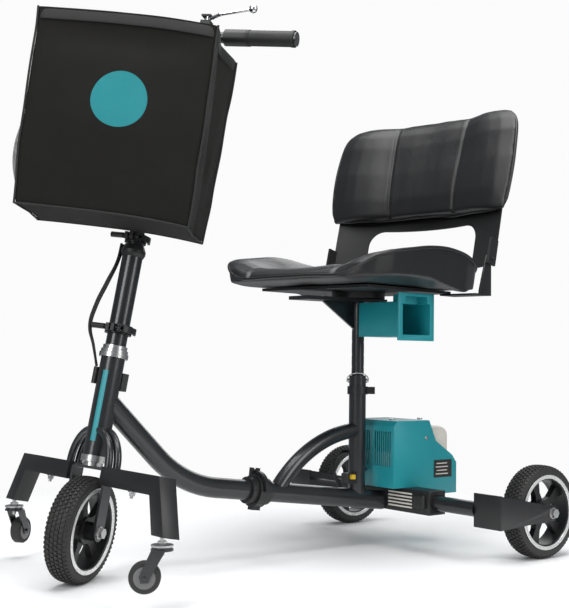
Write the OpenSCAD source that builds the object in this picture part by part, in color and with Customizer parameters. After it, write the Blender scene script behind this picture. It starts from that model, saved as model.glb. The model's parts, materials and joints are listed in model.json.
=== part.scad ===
// Seated three-wheeled travel scooter: one steered front wheel, two rear wheels,
// outrigger casters beside the front wheel, a telescopic steering column with a bag,
// and a swivelling seat with a folding backrest.
// Millimetres. +X is forward, +Y is the rider's left, +Z is up, z = 0 is the floor.

/* [Overall] */
// Distance from the front wheel's centre to the rear wheels' centres
wheelbase = 940; // [880:10:1130]
// Distance between the middles of the two rear wheels
track = 620; // [540:10:750]
// Backward lean of the steering axis from the vertical, degrees
rake = 11; // [8:0.5:14]
// Turn of the fork and handlebar to the left in the modelled pose, degrees
steer_rest = 33; // [0:1:40]
// Forward place of the front wheel's contact point from the part's origin
front_x = 457; // [400:1:560]

/* [Wheels] */
// Outer diameter of each wheel
wheel_d = 200; // [180:2:206]
// Width of each tyre
wheel_w = 50; // [42:1:54]
// Diameter of the tyre's seat on the rim
rim_seat_d = 148; // [140:1:152]
// Diameter of the axle bolts
axle_d = 12; // [8:0.5:14]
// Width across each hub
hub_w = 62; // [58:1:62]
// Number of rim spokes
spoke_count = 5; // [3:1:7]

/* [Fork and head] */
// Inner gap between the fork legs
fork_gap = 64; // [64:1:72]
// Thickness of the fork's flat bar
fork_t = 5; // [4:0.5:8]
// Width of the fork's flat bar
fork_w = 34; // [28:1:40]
// Height of the crown's top over the front axle, along the steering axis
crown_top = 119; // [117:1:124]
// Distance of the front axle behind the steering axis
axle_trail = 5; // [0:1:8]
// Outer diameter of the head tube
head_d = 46; // [44:1:52]
// Length of the head tube
head_len = 188; // [170:1:225]
// Diameter of the steering tube over the head
stem_d = 40; // [38:1:42]
// Diameter of the telescopic inner post
post_d = 30; // [26:1:31]
// Height of the handlebar over the front axle, along the steering axis
bar_up = 988; // [920:1:1100]
// Whole width of the handlebar, over the grips
bar_w = 526; // [480:2:630]
// Diameter of the handlebar
bar_d = 22; // [20:0.5:25]
// Diameter of the grips
grip_d = 33; // [30:1:36]

/* [Frame tubes] */
// Outer diameter of the down tube and main tube
main_d = 42; // [38:1:46]
// Radius of the bend at the foot of the down tube
main_bend = 250; // [180:5:300]
// Downward slope of the main tube toward the rear, degrees
main_drop = 7; // [5:0.5:8]
// Outer diameter of the curved brace
brace_d = 34; // [28:1:38]
// Wall of the frame tubes
wall = 2.5; // [2:0.1:4]
// Width and height of the square outrigger tube
arm_w = 34; // [28:1:36]
// Distance of the caster swivels from the middle plane
caster_y = 290; // [260:2:345]
// Diameter of the caster wheels
caster_d = 54; // [44:1:60]

/* [Seat] */
// Distance of the seat post behind the front wheel's centre
seat_back = 686; // [660:2:720]
// Outer diameter of the seat post
seat_post_d = 28; // [25:0.5:31]
// Outer diameter of the seat tube
seat_tube_d = 38; // [37:0.5:46]
// Height of the seat pan's underside over the floor
seat_z = 582; // [560:2:640]
// Turn of the seat to the left in the modelled pose, degrees
seat_turn = 10; // [0:1:30]
// Half width of the seat
seat_half = 240; // [200:2:260]
// Height of the backrest's top over its hinge
back_h = 385; // [320:5:420]
// Backward lean of the backrest, degrees
back_lean = 14; // [5:1:18]

/* [Rear] */
// Height of the rear cross box
box_h = 52; // [48:1:58]
// Length of the rear cross box across the scooter
box_len = 310; // [270:5:370]
// Diameter of the side arms
side_d = 33; // [30:1:36]
// Width of the power pack
pack_w = 144; // [130:2:160]
// Height of the power pack over the cross box
pack_h = 146; // [130:2:175]

/* [Bag] */
// Width of the bag
bag_w = 334; // [290:2:390]
// Height of the bag
bag_h = 368; // [310:2:400]
// Depth of the bag at its floor
bag_d = 120; // [104:2:144]
// Extra depth of the bag at its rim
bag_flare = 50; // [20:2:60]

/* [Hidden] */
$fn = 64;

// General clearances
fit = 0.05;      // running fit between a pin and its bore, on the radius
gap = 0.3;       // face gap between pieces that move on each other
eps = 0.01;      // overrun of a cut past the face that it opens

// Wheel shapes, as radius and half width pairs
wheel_r = wheel_d / 2;
rim_r = rim_seat_d / 2;
half_w = wheel_w / 2;
ring_r = rim_r + 6;
tyre_profile = [
  [rim_r, -half_w + 4], [ring_r, -half_w + 3.6], [ring_r + 4, -half_w],
  [wheel_r - 10, -half_w], [wheel_r - 4, -half_w + 2.5], [wheel_r - 0.8, -half_w + 9],
  [wheel_r, -half_w + 17], [wheel_r, half_w - 17], [wheel_r - 0.8, half_w - 9],
  [wheel_r - 4, half_w - 2.5], [wheel_r - 10, half_w], [ring_r + 4, half_w],
  [ring_r, half_w - 3.6], [rim_r, half_w - 4]
];

// Head frame: its origin stands on the steering axis beside the front axle, its z is the
// steering axis. The height puts the turned and leaning tyre's lowest point on the floor.
wheel_lean = asin(sin(rake) * sin(steer_rest));
wheel_drop = max([for (p = tyre_profile) p[0] * cos(wheel_lean) + abs(p[1]) * sin(wheel_lean)]);
head_z = wheel_drop + axle_trail * cos(steer_rest) * sin(rake);
head_x = front_x + axle_trail;
function head_point(u, fwd = 0) =
  [head_x - u * sin(rake) + fwd * cos(rake), 0, head_z + u * cos(rake) + fwd * sin(rake)];

// Heights along the steering axis
cup_h = 12;
race_h = 8;
lower_cup_z = crown_top + gap + race_h;
head_low = lower_cup_z + cup_h;
head_top = head_low + head_len;
upper_race_z = head_top + 9 + gap;
stem_low = upper_race_z + 15;
clamp_h = 18;
pin_out = 17;
lower_clamp_z = stem_low + 22;
collar_z = 527;
collar_h = 24;
upper_clamp_z = collar_z + collar_h + 4;
steerer_d = 28;

// Main tube: a corner point under the down tube, and the slope to the rear
corner = [front_x - 217, 0, 170];
down_start = head_point(247);
main_dir = [-cos(main_drop), 0, -sin(main_drop)];
function main_point(s) = corner + s * main_dir;
couple_s = 187;
couple_half = 26;
box_front = front_x - wheelbase + 180;
box_d = 50;
box_z = 111;
main_end_s = (corner[0] - box_front) / cos(main_drop);
seat_x = front_x - seat_back;

// Brace: an arc from the main tube to the seat tube
brace_r = 300;
brace_c = [seat_x - 13, 0, -34];

// Outriggers, in the head frame
arm_top = 122;
arm_in = 64;
arm_corner = 265;
arm_splay = 24;
arm_low = 24;
stay_d = 15;
stay_r = 66;

// Casters, in the world
caster_x = front_x + 6;
leg_z = 124;
caster_axle_z = 60;
caster_trail = 28;
caster_fork_w = 28;
caster_turn_left = -35;
caster_turn_right = 215;
disc_z = 104;

// Seat tube and post
seat_tube_top = 388;
seat_tube_low = 120;
post_low = 165;
bracket_z = seat_z - 28;
bracket_t = 8;
pin_z = seat_tube_top - 11;
bail_tilt = 52;
seat_clamp_z = 346;

// Backrest: hinge axis and the cylinder that its shell follows
hinge_x = -185;
hinge_z = seat_z + 74;
back_r = 560;
back_set = 62;
back_t = 4;
window_w = 158;
window_top = 106;
hinge_y = 236;
plate_t = 4;

// Rear brackets
bracket_w = 71;
bracket_gap = hub_w + 2;
rear_x = front_x - wheelbase;
side_x = box_front - box_d / 2;
side_z = box_z;

// Grips on the handlebar
grip_len = 100;
throttle_len = 46;

// ---------- helpers ----------
module at_head() { translate([head_x, 0, head_z]) rotate([0, -rake, 0]) children(); }
module at_fork() { at_head() rotate([0, 0, steer_rest]) children(); }
module at_main(s) { translate(main_point(s)) rotate([0, -90 - main_drop, 0]) children(); }
module at_seat() { translate([seat_x, 0, 0]) rotate([0, 0, seat_turn]) children(); }
module at_back() {
  at_seat() translate([hinge_x, 0, hinge_z]) rotate([0, -back_lean, 0]) children();
}
module across() { rotate([-90, 0, 0]) children(); }
module mirrored_y() { children(); mirror([0, 1, 0]) children(); }

// Round bar between two points
module rod(p, q, d) {
  v = q - p;
  translate(p) rotate([0, acos(v[2] / norm(v)), atan2(v[1], v[0])]) cylinder(h = norm(v), d = d);
}

// Ring with a bore
module ring(ro, ri, h) {
  difference() {
    cylinder(h = h, r = ro);
    translate([0, 0, -eps]) cylinder(h = h + 2 * eps, r = ri);
  }
}

// Two straight stretches in the XZ plane, joined by a bend at k
module bent(a, k, b, r, d) {
  ua = (a - k) / norm(a - k);
  ub = (b - k) / norm(b - k);
  turn = 180 - acos(ua * ub);
  t = r * tan(turn / 2);
  mid = (ua + ub) / norm(ua + ub);
  c = k + mid * r / cos(turn / 2);
  ta = k + ua * t - c;
  tb = k + ub * t - c;
  a0 = atan2(ta[2], ta[0]);
  a1 = atan2(tb[2], tb[0]);
  sweep = (a1 - a0 + 540) % 360 - 180;
  rod(a, k + ua * t, d);
  rod(k + ub * t, b, d);
  translate(c) rotate([90, 0, 0])
    rotate_extrude(angle = abs(sweep), start = sweep > 0 ? a0 : a1, $fn = 96)
      translate([r, 0]) circle(d = d, $fn = 48);
}

// Solid through a list of closed rings with equally many points, each anticlockwise about
// the way from the first ring to the last
module loft(rings) {
  n = len(rings[0]);
  m = len(rings);
  polyhedron(
    points = [for (r = rings) each r],
    faces = concat(
      [[for (i = [0:n - 1]) i]],
      [for (j = [0:m - 2], i = [0:n - 1])
        [j * n + i, (j + 1) * n + i, (j + 1) * n + (i + 1) % n, j * n + (i + 1) % n]],
      [[for (i = [n - 1:-1:0]) (m - 1) * n + i]]),
    convexity = 6);
}

// Smooth route through hand-placed points, and a tube swept along it
function spline_at(p, i, t) =
  let (a = p[max(i - 1, 0)], b = p[i], c = p[i + 1], d = p[min(i + 2, len(p) - 1)])
  0.5 * (2 * b + (c - a) * t + (2 * a - 5 * b + 4 * c - d) * t * t
    + (3 * b - a - 3 * c + d) * t * t * t);
function route(p, steps) = concat(
  [for (i = [0:len(p) - 2], k = [0:steps - 1]) spline_at(p, i, k / steps)], [p[len(p) - 1]]);
function unit(v) = v / norm(v);
module cable(p, d, steps = 4, sides = 8) {
  q = route(p, steps);
  last = len(q) - 1;
  loft([for (i = [0:last])
    let (
      w = unit(q[min(i + 1, last)] - q[max(i - 1, 0)]),
      u = unit(cross(abs(w[1]) < 0.9 ? [0, 1, 0] : [1, 0, 0], w)),
      v = cross(w, u))
    [for (k = [0:sides - 1]) q[i] + d / 2 * (cos(360 * k / sides) * u + sin(360 * k / sides) * v)]]);
}

// Hexagon head or nut, and a plain washer
module hex_nut(across_flats, h) { cylinder(h = h, d = across_flats / cos(30), $fn = 6); }

// ---------- wheels ----------
module wheel_tyre() {
  difference() {
    rotate_extrude($fn = 120) polygon(tyre_profile);
    for (z = [-11, 0, 11])
      translate([0, 0, z - 1]) ring(wheel_r + 1, wheel_r - 2, 2);
  }
}

module wheel_rim() {
  flange_z = half_w - 3.4;
  difference() {
    union() {
      rotate_extrude($fn = 120) polygon([
        [rim_r - 4, -flange_z], [ring_r - 8, -half_w + 1], [ring_r, -half_w + 1],
        [ring_r, -half_w + 3.6], [rim_r, -half_w + 4], [rim_r, half_w - 4],
        [ring_r, half_w - 3.6], [ring_r, half_w - 1], [ring_r - 8, half_w - 1],
        [rim_r - 4, flange_z]]);
      for (k = [0:spoke_count - 1]) rotate([0, 0, 360 * k / spoke_count])
        translate([0, 0, -7]) linear_extrude(14)
          polygon([[18, -12], [40, -7], [rim_r - 3.5, -13], [rim_r - 3.5, 13], [40, 7], [18, 12]]);
      translate([0, 0, -hub_w / 2]) cylinder(h = hub_w, r = 17);
      translate([0, 0, -12]) cylinder(h = 24, r = 25);
    }
    translate([0, 0, -hub_w / 2 - eps]) cylinder(h = hub_w + 2 * eps, d = axle_d + 2 * fit);
  }
}

// Axle bolt along z: shank, washers and nuts outside a gap between two plates
module axle_bolt(plates_out) {
  cylinder(h = plates_out + 12, d = axle_d, center = true);
  mirror_z() translate([0, 0, plates_out / 2]) {
    cylinder(h = 2, r = 12);
    translate([0, 0, 2]) hex_nut(18, 8);
  }
}
module mirror_z() { children(); mirror([0, 0, 1]) children(); }

module at_front_axle() { at_fork() translate([-axle_trail, 0, 0]) across() children(); }
module at_rear(side) { translate([rear_x, side * track / 2, wheel_r]) across() children(); }

module front_tyre() { color([0.07, 0.07, 0.07]) at_front_axle() wheel_tyre(); }
module front_rim() { color([0.2, 0.2, 0.2]) at_front_axle() wheel_rim(); }
module front_axle() { color("silver") at_front_axle() axle_bolt(fork_gap + 2 * fork_t); }
module rear_left_tyre() { color([0.07, 0.07, 0.07]) at_rear(1) wheel_tyre(); }
module rear_left_rim() { color([0.2, 0.2, 0.2]) at_rear(1) wheel_rim(); }
module rear_right_tyre() { color([0.07, 0.07, 0.07]) at_rear(-1) wheel_tyre(); }
module rear_right_rim() { color([0.2, 0.2, 0.2]) at_rear(-1) wheel_rim(); }
module rear_axles() {
  color("silver") for (side = [-1, 1]) at_rear(side) axle_bolt(bracket_gap + 2 * fork_t);
}

// ---------- fork and steering ----------
module fork() {
  half = fork_gap / 2;
  bend = 8;
  color([0.13, 0.13, 0.14]) at_fork() translate([-axle_trail, 0, 0]) difference() {
    union() {
      translate([-fork_w / 2, -half - fork_t + bend, crown_top - fork_t])
        cube([fork_w + axle_trail, 2 * (half + fork_t - bend), fork_t]);
      mirrored_y() {
        translate([-fork_w / 2, half, 0]) cube([fork_w, fork_t, crown_top - bend]);
        translate([-fork_w / 2, half + fork_t - bend, crown_top - bend])
          rotate([90, 0, 90]) rotate_extrude(angle = 90)
            translate([bend - fork_t, 0]) square([fork_t, fork_w]);
        translate([0, half, 0]) across() cylinder(h = fork_t, d = fork_w);
      }
    }
    across() cylinder(h = 2 * half + 4 * fork_t, d = axle_d, center = true);
    translate([axle_trail, 0, crown_top - 2 * fork_t]) cylinder(h = 3 * fork_t, d = steerer_d);
  }
}

// Steerer through the head, and the wider tube over it with the bore for the post
module steering_tube() {
  low = crown_top - fork_t;
  color([0.11, 0.11, 0.12]) at_fork() difference() {
    union() {
      translate([0, 0, low]) cylinder(h = stem_low - low, d = steerer_d);
      translate([0, 0, stem_low]) cylinder(h = collar_z - stem_low, d = stem_d);
    }
    translate([0, 0, low - eps]) cylinder(h = stem_low - low - 20, d = steerer_d - 2 * wall);
    translate([0, 0, stem_low + 30]) cylinder(h = collar_z, d = post_d + 2 * fit);
  }
}

module collar() {
  r = stem_d / 2;
  bore = post_d / 2 + fit;
  color([0.06, 0.06, 0.06]) at_fork() translate([0, 0, collar_z])
    rotate_extrude() polygon([[bore, 0], [r + 1, 0], [r + 4, 7], [r + 4, 13],
      [r - 1, collar_h], [bore, collar_h]]);
}

module headset_races() {
  color("silver") at_fork() {
    translate([0, 0, crown_top]) ring(19, steerer_d / 2, race_h);
    translate([0, 0, upper_race_z]) ring(26, steerer_d / 2, 6);
    translate([0, 0, upper_race_z + 6.5]) ring(23.5, steerer_d / 2, 7.5);
  }
}

module headset_cups() {
  bore = steerer_d / 2 + 0.1;
  color("silver") at_head() {
    translate([0, 0, lower_cup_z]) ring(25, bore, cup_h);
    translate([0, 0, head_top]) ring(28, bore, 9);
  }
}

module head_tube() {
  color([0.13, 0.13, 0.14]) at_head() translate([0, 0, head_low])
    ring(head_d / 2, steerer_d / 2 + 3, head_len);
}

// Clamp round a tube of radius r: a collar, two ears in front and a bolt with a long nut
module tube_clamp(r) {
  x = r + 11;
  ring(r + 6, r, clamp_h);
  for (side = [-1, 1]) translate([r + 4, side * 5.5 - 3.5, 2]) cube([14, 7, clamp_h - 4]);
  translate([x, pin_out, clamp_h / 2]) rotate([90, 0, 0]) cylinder(h = pin_out + 22, r = 3);
  translate([x, -14, clamp_h / 2]) rotate([90, 0, 0]) cylinder(h = 26, r = 5.5);
  translate([x, pin_out, 1]) cylinder(h = clamp_h - 2, r = 3);
}
module tube_clamps() {
  color([0.3, 0.3, 0.31]) at_fork() {
    translate([0, 0, lower_clamp_z]) tube_clamp(stem_d / 2);
    translate([0, 0, upper_clamp_z]) tube_clamp(post_d / 2 + fit);
  }
}

// Curved lever that lies round a clamp; its slotted eye turns on the clamp's upright pin
module clamp_lever(r) {
  x = r + 11;
  eye = 6.5;
  inner = r + 9;
  color([0.08, 0.08, 0.08]) translate([0, 0, 3]) difference() {
    union() {
      translate([x, pin_out, 0]) cylinder(h = clamp_h - 6, r = eye);
      rotate_extrude(angle = 88, start = 42) translate([inner, 0]) square([5, clamp_h - 6]);
      translate([x - 6, pin_out, 0]) cube([8, 6, clamp_h - 6]);
    }
    translate([x, pin_out, -eps]) cylinder(h = clamp_h, r = 3 + fit);
    translate([x, pin_out, clamp_h / 2 - 6.3]) cylinder(h = 6.6, r = eye + 0.6);
    translate([0, 0, -eps]) cylinder(h = clamp_h, r = r + 7.5);
  }
}
module lower_lever() { at_fork() translate([0, 0, lower_clamp_z]) clamp_lever(stem_d / 2); }
module upper_lever() { at_fork() translate([0, 0, upper_clamp_z]) clamp_lever(post_d / 2 + fit); }

// Cables from the collar down to the sheath on the head tube
cable_d = 5;
brake_route = [[-4, -26.9, 552], [1, -27.3, 520], [14, -34, 470], [20, -46, 420], [20, -50, 380],
  [12, -40, 345], [4, -30, 307]];
throttle_route = [[4, -26.9, 552], [11, -25.6, 515], [26, -32, 468], [34, -42, 420], [33, -46, 380],
  [20, -37, 345], [9.5, -26.5, 307]];
module control_cables() {
  color([0.05, 0.05, 0.05]) at_fork() {
    cable(brake_route, cable_d, 3);
    cable(throttle_route, cable_d, 3);
  }
}

// ---------- column and handlebar ----------
module inner_post() {
  color([0.1, 0.1, 0.1]) at_fork() difference() {
    translate([0, 0, 405]) cylinder(h = bar_up - 405, d = post_d);
    translate([0, 0, 405 - eps]) cylinder(h = bar_up - 405 - 30, d = post_d - 2 * wall);
    translate([0, 0, bar_up]) across() cylinder(h = post_d + 10, d = bar_d, center = true);
  }
}

module handlebar() {
  color([0.1, 0.1, 0.1]) at_fork() translate([0, 0, bar_up]) across() {
    ring_tube(bar_w - 8, bar_d, wall);
    mirror_z() translate([0, 0, bar_w / 2 - 4]) cylinder(h = 4, d = grip_d - 5);
  }
}
module ring_tube(len, d, t) {
  difference() {
    cylinder(h = len, d = d, center = true);
    cylinder(h = len + 1, d = d - 2 * t, center = true);
  }
}

module grip(side, len) {
  at_fork() translate([0, side * (bar_w / 2 - 4 - len / 2), bar_up]) across() difference() {
    union() {
      cylinder(h = len, d = grip_d - 2, center = true);
      mirror_z() translate([0, 0, len / 2 - 6]) cylinder(h = 6, d = grip_d);
    }
    cylinder(h = len + 1, d = bar_d, center = true);
  }
}
module grip_left() { color([0.06, 0.06, 0.06]) grip(1, grip_len); }
module grip_right() { color([0.06, 0.06, 0.06]) grip(-1, grip_len + throttle_len); }
module throttle() {
  y = bar_w / 2 - 4 - grip_len - gap - throttle_len / 2;
  color([0.1, 0.1, 0.1]) at_fork() translate([0, y, bar_up]) across()
    ring_tube(throttle_len, grip_d, (grip_d - bar_d) / 2 - fit);
}

// Lever housing on the bar, and the lever with its ball end
lever_y = 84;
lever_x = 34;
lever_z = bar_up + 22;
module brake_mount() {
  color([0.1, 0.1, 0.1]) at_fork() {
    translate([0, lever_y - 22, bar_up]) across() ring(bar_d / 2 + 5, bar_d / 2, 24);
    translate([bar_d / 2 + 2, lever_y - 22, bar_up - 6]) cube([lever_x - 7, 24, 14]);
    difference() {
      translate([lever_x - 9, lever_y - 12, bar_up + 8]) cube([18, 20, 22]);
      translate([lever_x - 10, lever_y - 13, lever_z - 4.3]) cube([20, 22, 8.6]);
    }
    translate([lever_x, lever_y, bar_up + 8]) cylinder(h = 22, r = 3);
  }
}
module brake_lever() {
  knee = [lever_x + 20, lever_y + 34, 2];
  ball = [lever_x + 14, lever_y + 98, 17];
  color("silver") at_fork() translate([0, 0, lever_z]) difference() {
    union() {
      translate([lever_x, lever_y, -4]) cylinder(h = 8, r = 6.5);
      rod([lever_x + 1, lever_y + 2, 0], knee, 6.6);
      rod(knee, ball, 6.6);
      translate(knee) sphere(d = 8.4);
      translate(ball) sphere(d = 17);
    }
    translate([lever_x, lever_y, -10]) cylinder(h = 20, r = 3 + fit);
  }
}

// ---------- bag ----------
bag_turn = 10;
bag_low = 574;
bag_gap = 32;
bag_side = -26;
bag_wall = 4;
module at_bag() {
  at_fork() rotate([0, 0, bag_turn]) translate([bag_gap, bag_side, bag_low]) children();
}

// Bag outline at height z, drawn in by a wall; k counts the points of each rounded corner
function bag_ring(z, inset) =
  let (
    d = bag_d + bag_flare * z / bag_h - inset,
    w = bag_w / 2 - inset,
    r = 16,
    k = 4,
    centres = [[d - r, w - r, 0], [inset + r, w - r, 90], [inset + r, r - w, 180], [d - r, r - w, 270]])
  [for (c = centres, i = [0:k])
    [c[0] + r * cos(c[2] + 90 * i / k), c[1] + r * sin(c[2] + 90 * i / k), z]];
module bag() {
  color([0.08, 0.08, 0.08]) at_bag() difference() {
    loft([bag_ring(0, 6), bag_ring(8, 0), bag_ring(bag_h, 0)]);
    loft([bag_ring(8 + bag_wall, bag_wall), bag_ring(bag_h + 1, bag_wall)]);
  }
}

// Plate behind the bag, with two hooks that hold it to the post
module bag_bracket() {
  z = 760;
  color([0.08, 0.08, 0.08]) at_fork() {
    translate([0, 0, z]) ring(post_d / 2 + 5, post_d / 2, 30);
    rotate([0, 0, bag_turn]) translate([post_d / 2 + 2, -60, z - 30])
      cube([bag_gap - post_d / 2 - 2 - gap, 120, 90]);
  }
}

// ---------- stays and outriggers ----------
// Four round stays, each a quarter turn from the outrigger's top to the head tube
module stays() {
  foot_y = 74;
  color([0.12, 0.12, 0.13]) at_head() difference() {
    for (x = [-9, 9]) mirrored_y() translate([x, foot_y - stay_r, arm_top])
      rotate([90, 0, 90]) rotate_extrude(angle = 84) translate([stay_r, 0]) circle(d = stay_d);
    translate([0, 0, head_low]) cylinder(h = head_len, d = head_d);
  }
}

// One L-shaped square tube, with its leg splayed outward and cut level with the floor
module outrigger() {
  leg = arm_top - arm_low;
  out = leg * tan(arm_splay);
  run = arm_w / cos(arm_splay);
  rotate([90, 0, 90]) linear_extrude(arm_w, center = true) polygon([
    [arm_in, arm_top - arm_w], [arm_in, arm_top], [arm_corner, arm_top],
    [arm_corner + out, arm_low], [arm_corner + out - run, arm_low],
    [arm_corner - run + arm_w * tan(arm_splay), arm_top - arm_w]]);
}
module outriggers() {
  color([0.07, 0.07, 0.08]) difference() {
    at_head() mirrored_y() outrigger();
    for (side = [-1, 1]) at_caster(side) cylinder(h = leg_z + 16, d = 8);
  }
}
module outrigger_bolts() {
  color("silver") at_head() mirrored_y() translate([0, 160, arm_top - arm_w]) mirror([0, 0, 1]) {
    cylinder(h = 2, r = 8);
    translate([0, 0, 2]) hex_nut(11, 6);
    translate([0, 0, 8]) cylinder(h = 5, r = 3);
  }
}

// ---------- casters ----------
module at_caster(side) {
  turn = side > 0 ? caster_turn_left : caster_turn_right;
  translate([caster_x, side * caster_y, 0]) rotate([0, 0, turn]) children();
}
module caster_stems() {
  color("silver") for (side = [-1, 1]) at_caster(side) {
    translate([0, 0, disc_z - 8]) cylinder(h = leg_z - disc_z + 24, d = 8);
    translate([0, 0, disc_z + 7]) cylinder(h = 3, r = 19);
    translate([0, 0, disc_z + 10]) hex_nut(14, 6);
  }
}
module caster_fork(side) {
  h = disc_z - caster_axle_z;
  color([0.1, 0.1, 0.1]) at_caster(side) {
    translate([0, 0, disc_z]) difference() {
      union() {
        cylinder(h = 3, r = 19);
        translate([0, 0, 3.2]) cylinder(h = 3.5, r = 17);
        cylinder(h = 4, r = 12);
        translate([0, -caster_fork_w / 2, -3]) cube([18, caster_fork_w, 3]);
      }
      translate([0, 0, -5]) cylinder(h = 20, d = 8 + 2 * fit);
    }
    for (y = [-1, 1]) translate([0, y * (caster_fork_w / 2 - 1.25), caster_axle_z])
      rotate([90, 0, 0]) linear_extrude(2.5, center = true)
        polygon([[-6, h], [18, h], [caster_trail + 9, 3], [caster_trail + 6, -8],
          [caster_trail - 7, -7], [caster_trail - 10, 2]]);
    translate([caster_trail, 0, caster_axle_z]) across()
      cylinder(h = caster_fork_w + 8, d = 6, center = true);
  }
}
module caster_wheel(side) {
  r = caster_d / 2;
  at_caster(side) translate([caster_trail, 0, caster_axle_z]) across() {
    color([0.08, 0.08, 0.08]) rotate_extrude() polygon([[r - 6, -10], [r - 2, -10], [r, -7],
      [r, 7], [r - 2, 10], [r - 6, 10]]);
    color([0.8, 0.8, 0.8]) translate([0, 0, -10.5]) ring(r - 6, 3 + fit, 21);
  }
}
module caster_left_fork() { caster_fork(1); }
module caster_right_fork() { caster_fork(-1); }
module caster_left_wheel() { caster_wheel(1); }
module caster_right_wheel() { caster_wheel(-1); }

// ---------- frame tubes ----------
module main_tube_front() {
  end = main_point(couple_s - couple_half);
  color([0.12, 0.12, 0.13]) difference() {
    bent(down_start, corner, end, main_bend, main_d);
    bent(down_start, corner, end + main_dir, main_bend, main_d - 2 * wall);
    at_head() translate([0, 0, head_low]) cylinder(h = head_len, d = head_d);
  }
}
module coupling_sleeves() {
  color([0.1, 0.1, 0.1]) for (end = [-1, 1])
    at_main(couple_s + end * couple_half / 2) translate([0, 0, -couple_half / 2])
      difference() {
        translate([0, 0, end < 0 ? 0 : 0.5]) cylinder(h = couple_half - 0.5, d = main_d + 14);
        translate([0, 0, -1]) cylinder(h = couple_half + 2, d = main_d - 2 * wall);
      }
}

// Band over the meeting rims of the two sleeves, with ears for the lever pin on top
module coupling_clamp() {
  r = main_d / 2 + 7;
  color([0.08, 0.08, 0.08]) at_main(couple_s) {
    translate([0, 0, -11]) ring(r + 6, r, 22);
    for (z = [-11, 5]) translate([r + 3, -16, z]) cube([16, 9, 6]);
    translate([r + 11, -11.5, -11]) cylinder(h = 22, r = 3);
    translate([-r - 12, -7, -11]) cube([8, 14, 22]);
  }
}
module coupling_lever() {
  r = main_d / 2 + 7;
  color([0.1, 0.1, 0.1]) at_main(couple_s) difference() {
    union() {
      translate([r + 11, -11.5, -4.6]) cylinder(h = 9.2, r = 5.5);
      rotate_extrude(angle = 108, start = -20) translate([r + 7.5, -4.6]) square([6, 9.2]);
    }
    translate([r + 11, -11.5, -6]) cylinder(h = 12, r = 3 + fit);
  }
}
module main_tube_rear() {
  color([0.12, 0.12, 0.13]) difference() {
    rod(main_point(couple_s + couple_half), main_point(main_end_s + 20), main_d);
    rod(main_point(couple_s + couple_half - 1), main_point(main_end_s + 21), main_d - 2 * wall);
    translate([box_front - 100, -50, 0]) cube([100, 100, 300]);
  }
}
module brace_tube() {
  color([0.12, 0.12, 0.13]) difference() {
    translate(brace_c) rotate([90, 0, 0]) rotate_extrude(angle = 51, start = 37, $fn = 96)
      translate([brace_r, 0]) ring_section(brace_d);
    rod(main_point(0), main_point(main_end_s), main_d);
    translate([seat_x, 0, 0]) cylinder(h = 400, d = seat_tube_d);
  }
}
module ring_section(d) {
  difference() {
    circle(d = d, $fn = 48);
    circle(d = d - 2 * wall, $fn = 48);
  }
}
module seat_tube() {
  color([0.12, 0.12, 0.13]) difference() {
    translate([seat_x, 0, seat_tube_low]) cylinder(h = seat_tube_top - seat_tube_low, d = seat_tube_d);
    translate([seat_x, 0, seat_tube_low - 1]) cylinder(h = 400, d = seat_post_d + 2 * fit);
    rod(main_point(0), main_point(main_end_s + 10), main_d);
    translate([seat_x, 0, pin_z]) rotate([0, 90, -40]) cylinder(h = 100, r = 3 + fit, center = true);
  }
}
module seat_clamp() {
  r = seat_tube_d / 2;
  color([0.05, 0.05, 0.05]) translate([seat_x, 0, seat_clamp_z]) rotate([0, 0, 140]) {
    ring(r + 4, r, 18);
    for (y = [-1, 1]) translate([r + 2, y * 5.5 - 3.5, 1]) cube([18, 7, 16]);
    translate([r + 13, 12, 9]) rotate([90, 0, 0]) cylinder(h = 24, r = 3);
  }
}

// Two short locking studs with a wire bail over them
module seat_pin() {
  r = seat_tube_d / 2;
  color("silver") translate([seat_x, 0, pin_z]) rotate([0, 0, -40]) {
    for (side = [-1, 1]) rotate([0, side * 90, 0]) {
      translate([0, 0, seat_post_d / 2 + gap]) cylinder(h = r + 6 - seat_post_d / 2 - gap, r = 3);
      translate([0, 0, r]) cylinder(h = 3, r = 5);
    }
    rotate([-bail_tilt, 0, 0]) {
      translate([0, 0, 4]) rotate([90, 0, 0])
        rotate_extrude(angle = 180) translate([r + 5, 0]) circle(r = 1.2, $fn = 16);
      for (side = [-1, 1]) translate([side * (r + 5), 0, 0]) cylinder(h = 4, r = 1.2);
    }
  }
}

// ---------- rear ----------
module cross_box() {
  color([0.09, 0.09, 0.1]) difference() {
    translate([box_front - box_d, -box_len / 2, box_z - box_h / 2]) cube([box_d, box_len, box_h]);
    translate([box_front - box_d + 3, -box_len / 2 + 3, box_z - box_h / 2 + 3])
      cube([box_d - 6, box_len - 6, box_h - 6]);
    translate([side_x, 0, side_z]) across() cylinder(h = box_len + 2, d = side_d, center = true);
  }
}
module side_arms() {
  inner = box_len / 2 - 80;
  outer = track / 2 - bracket_gap / 2 - fork_t;
  color([0.12, 0.12, 0.13]) mirrored_y() translate([side_x, inner, side_z]) across()
    ring(side_d / 2, side_d / 2 - wall, outer - inner);
}

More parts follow.
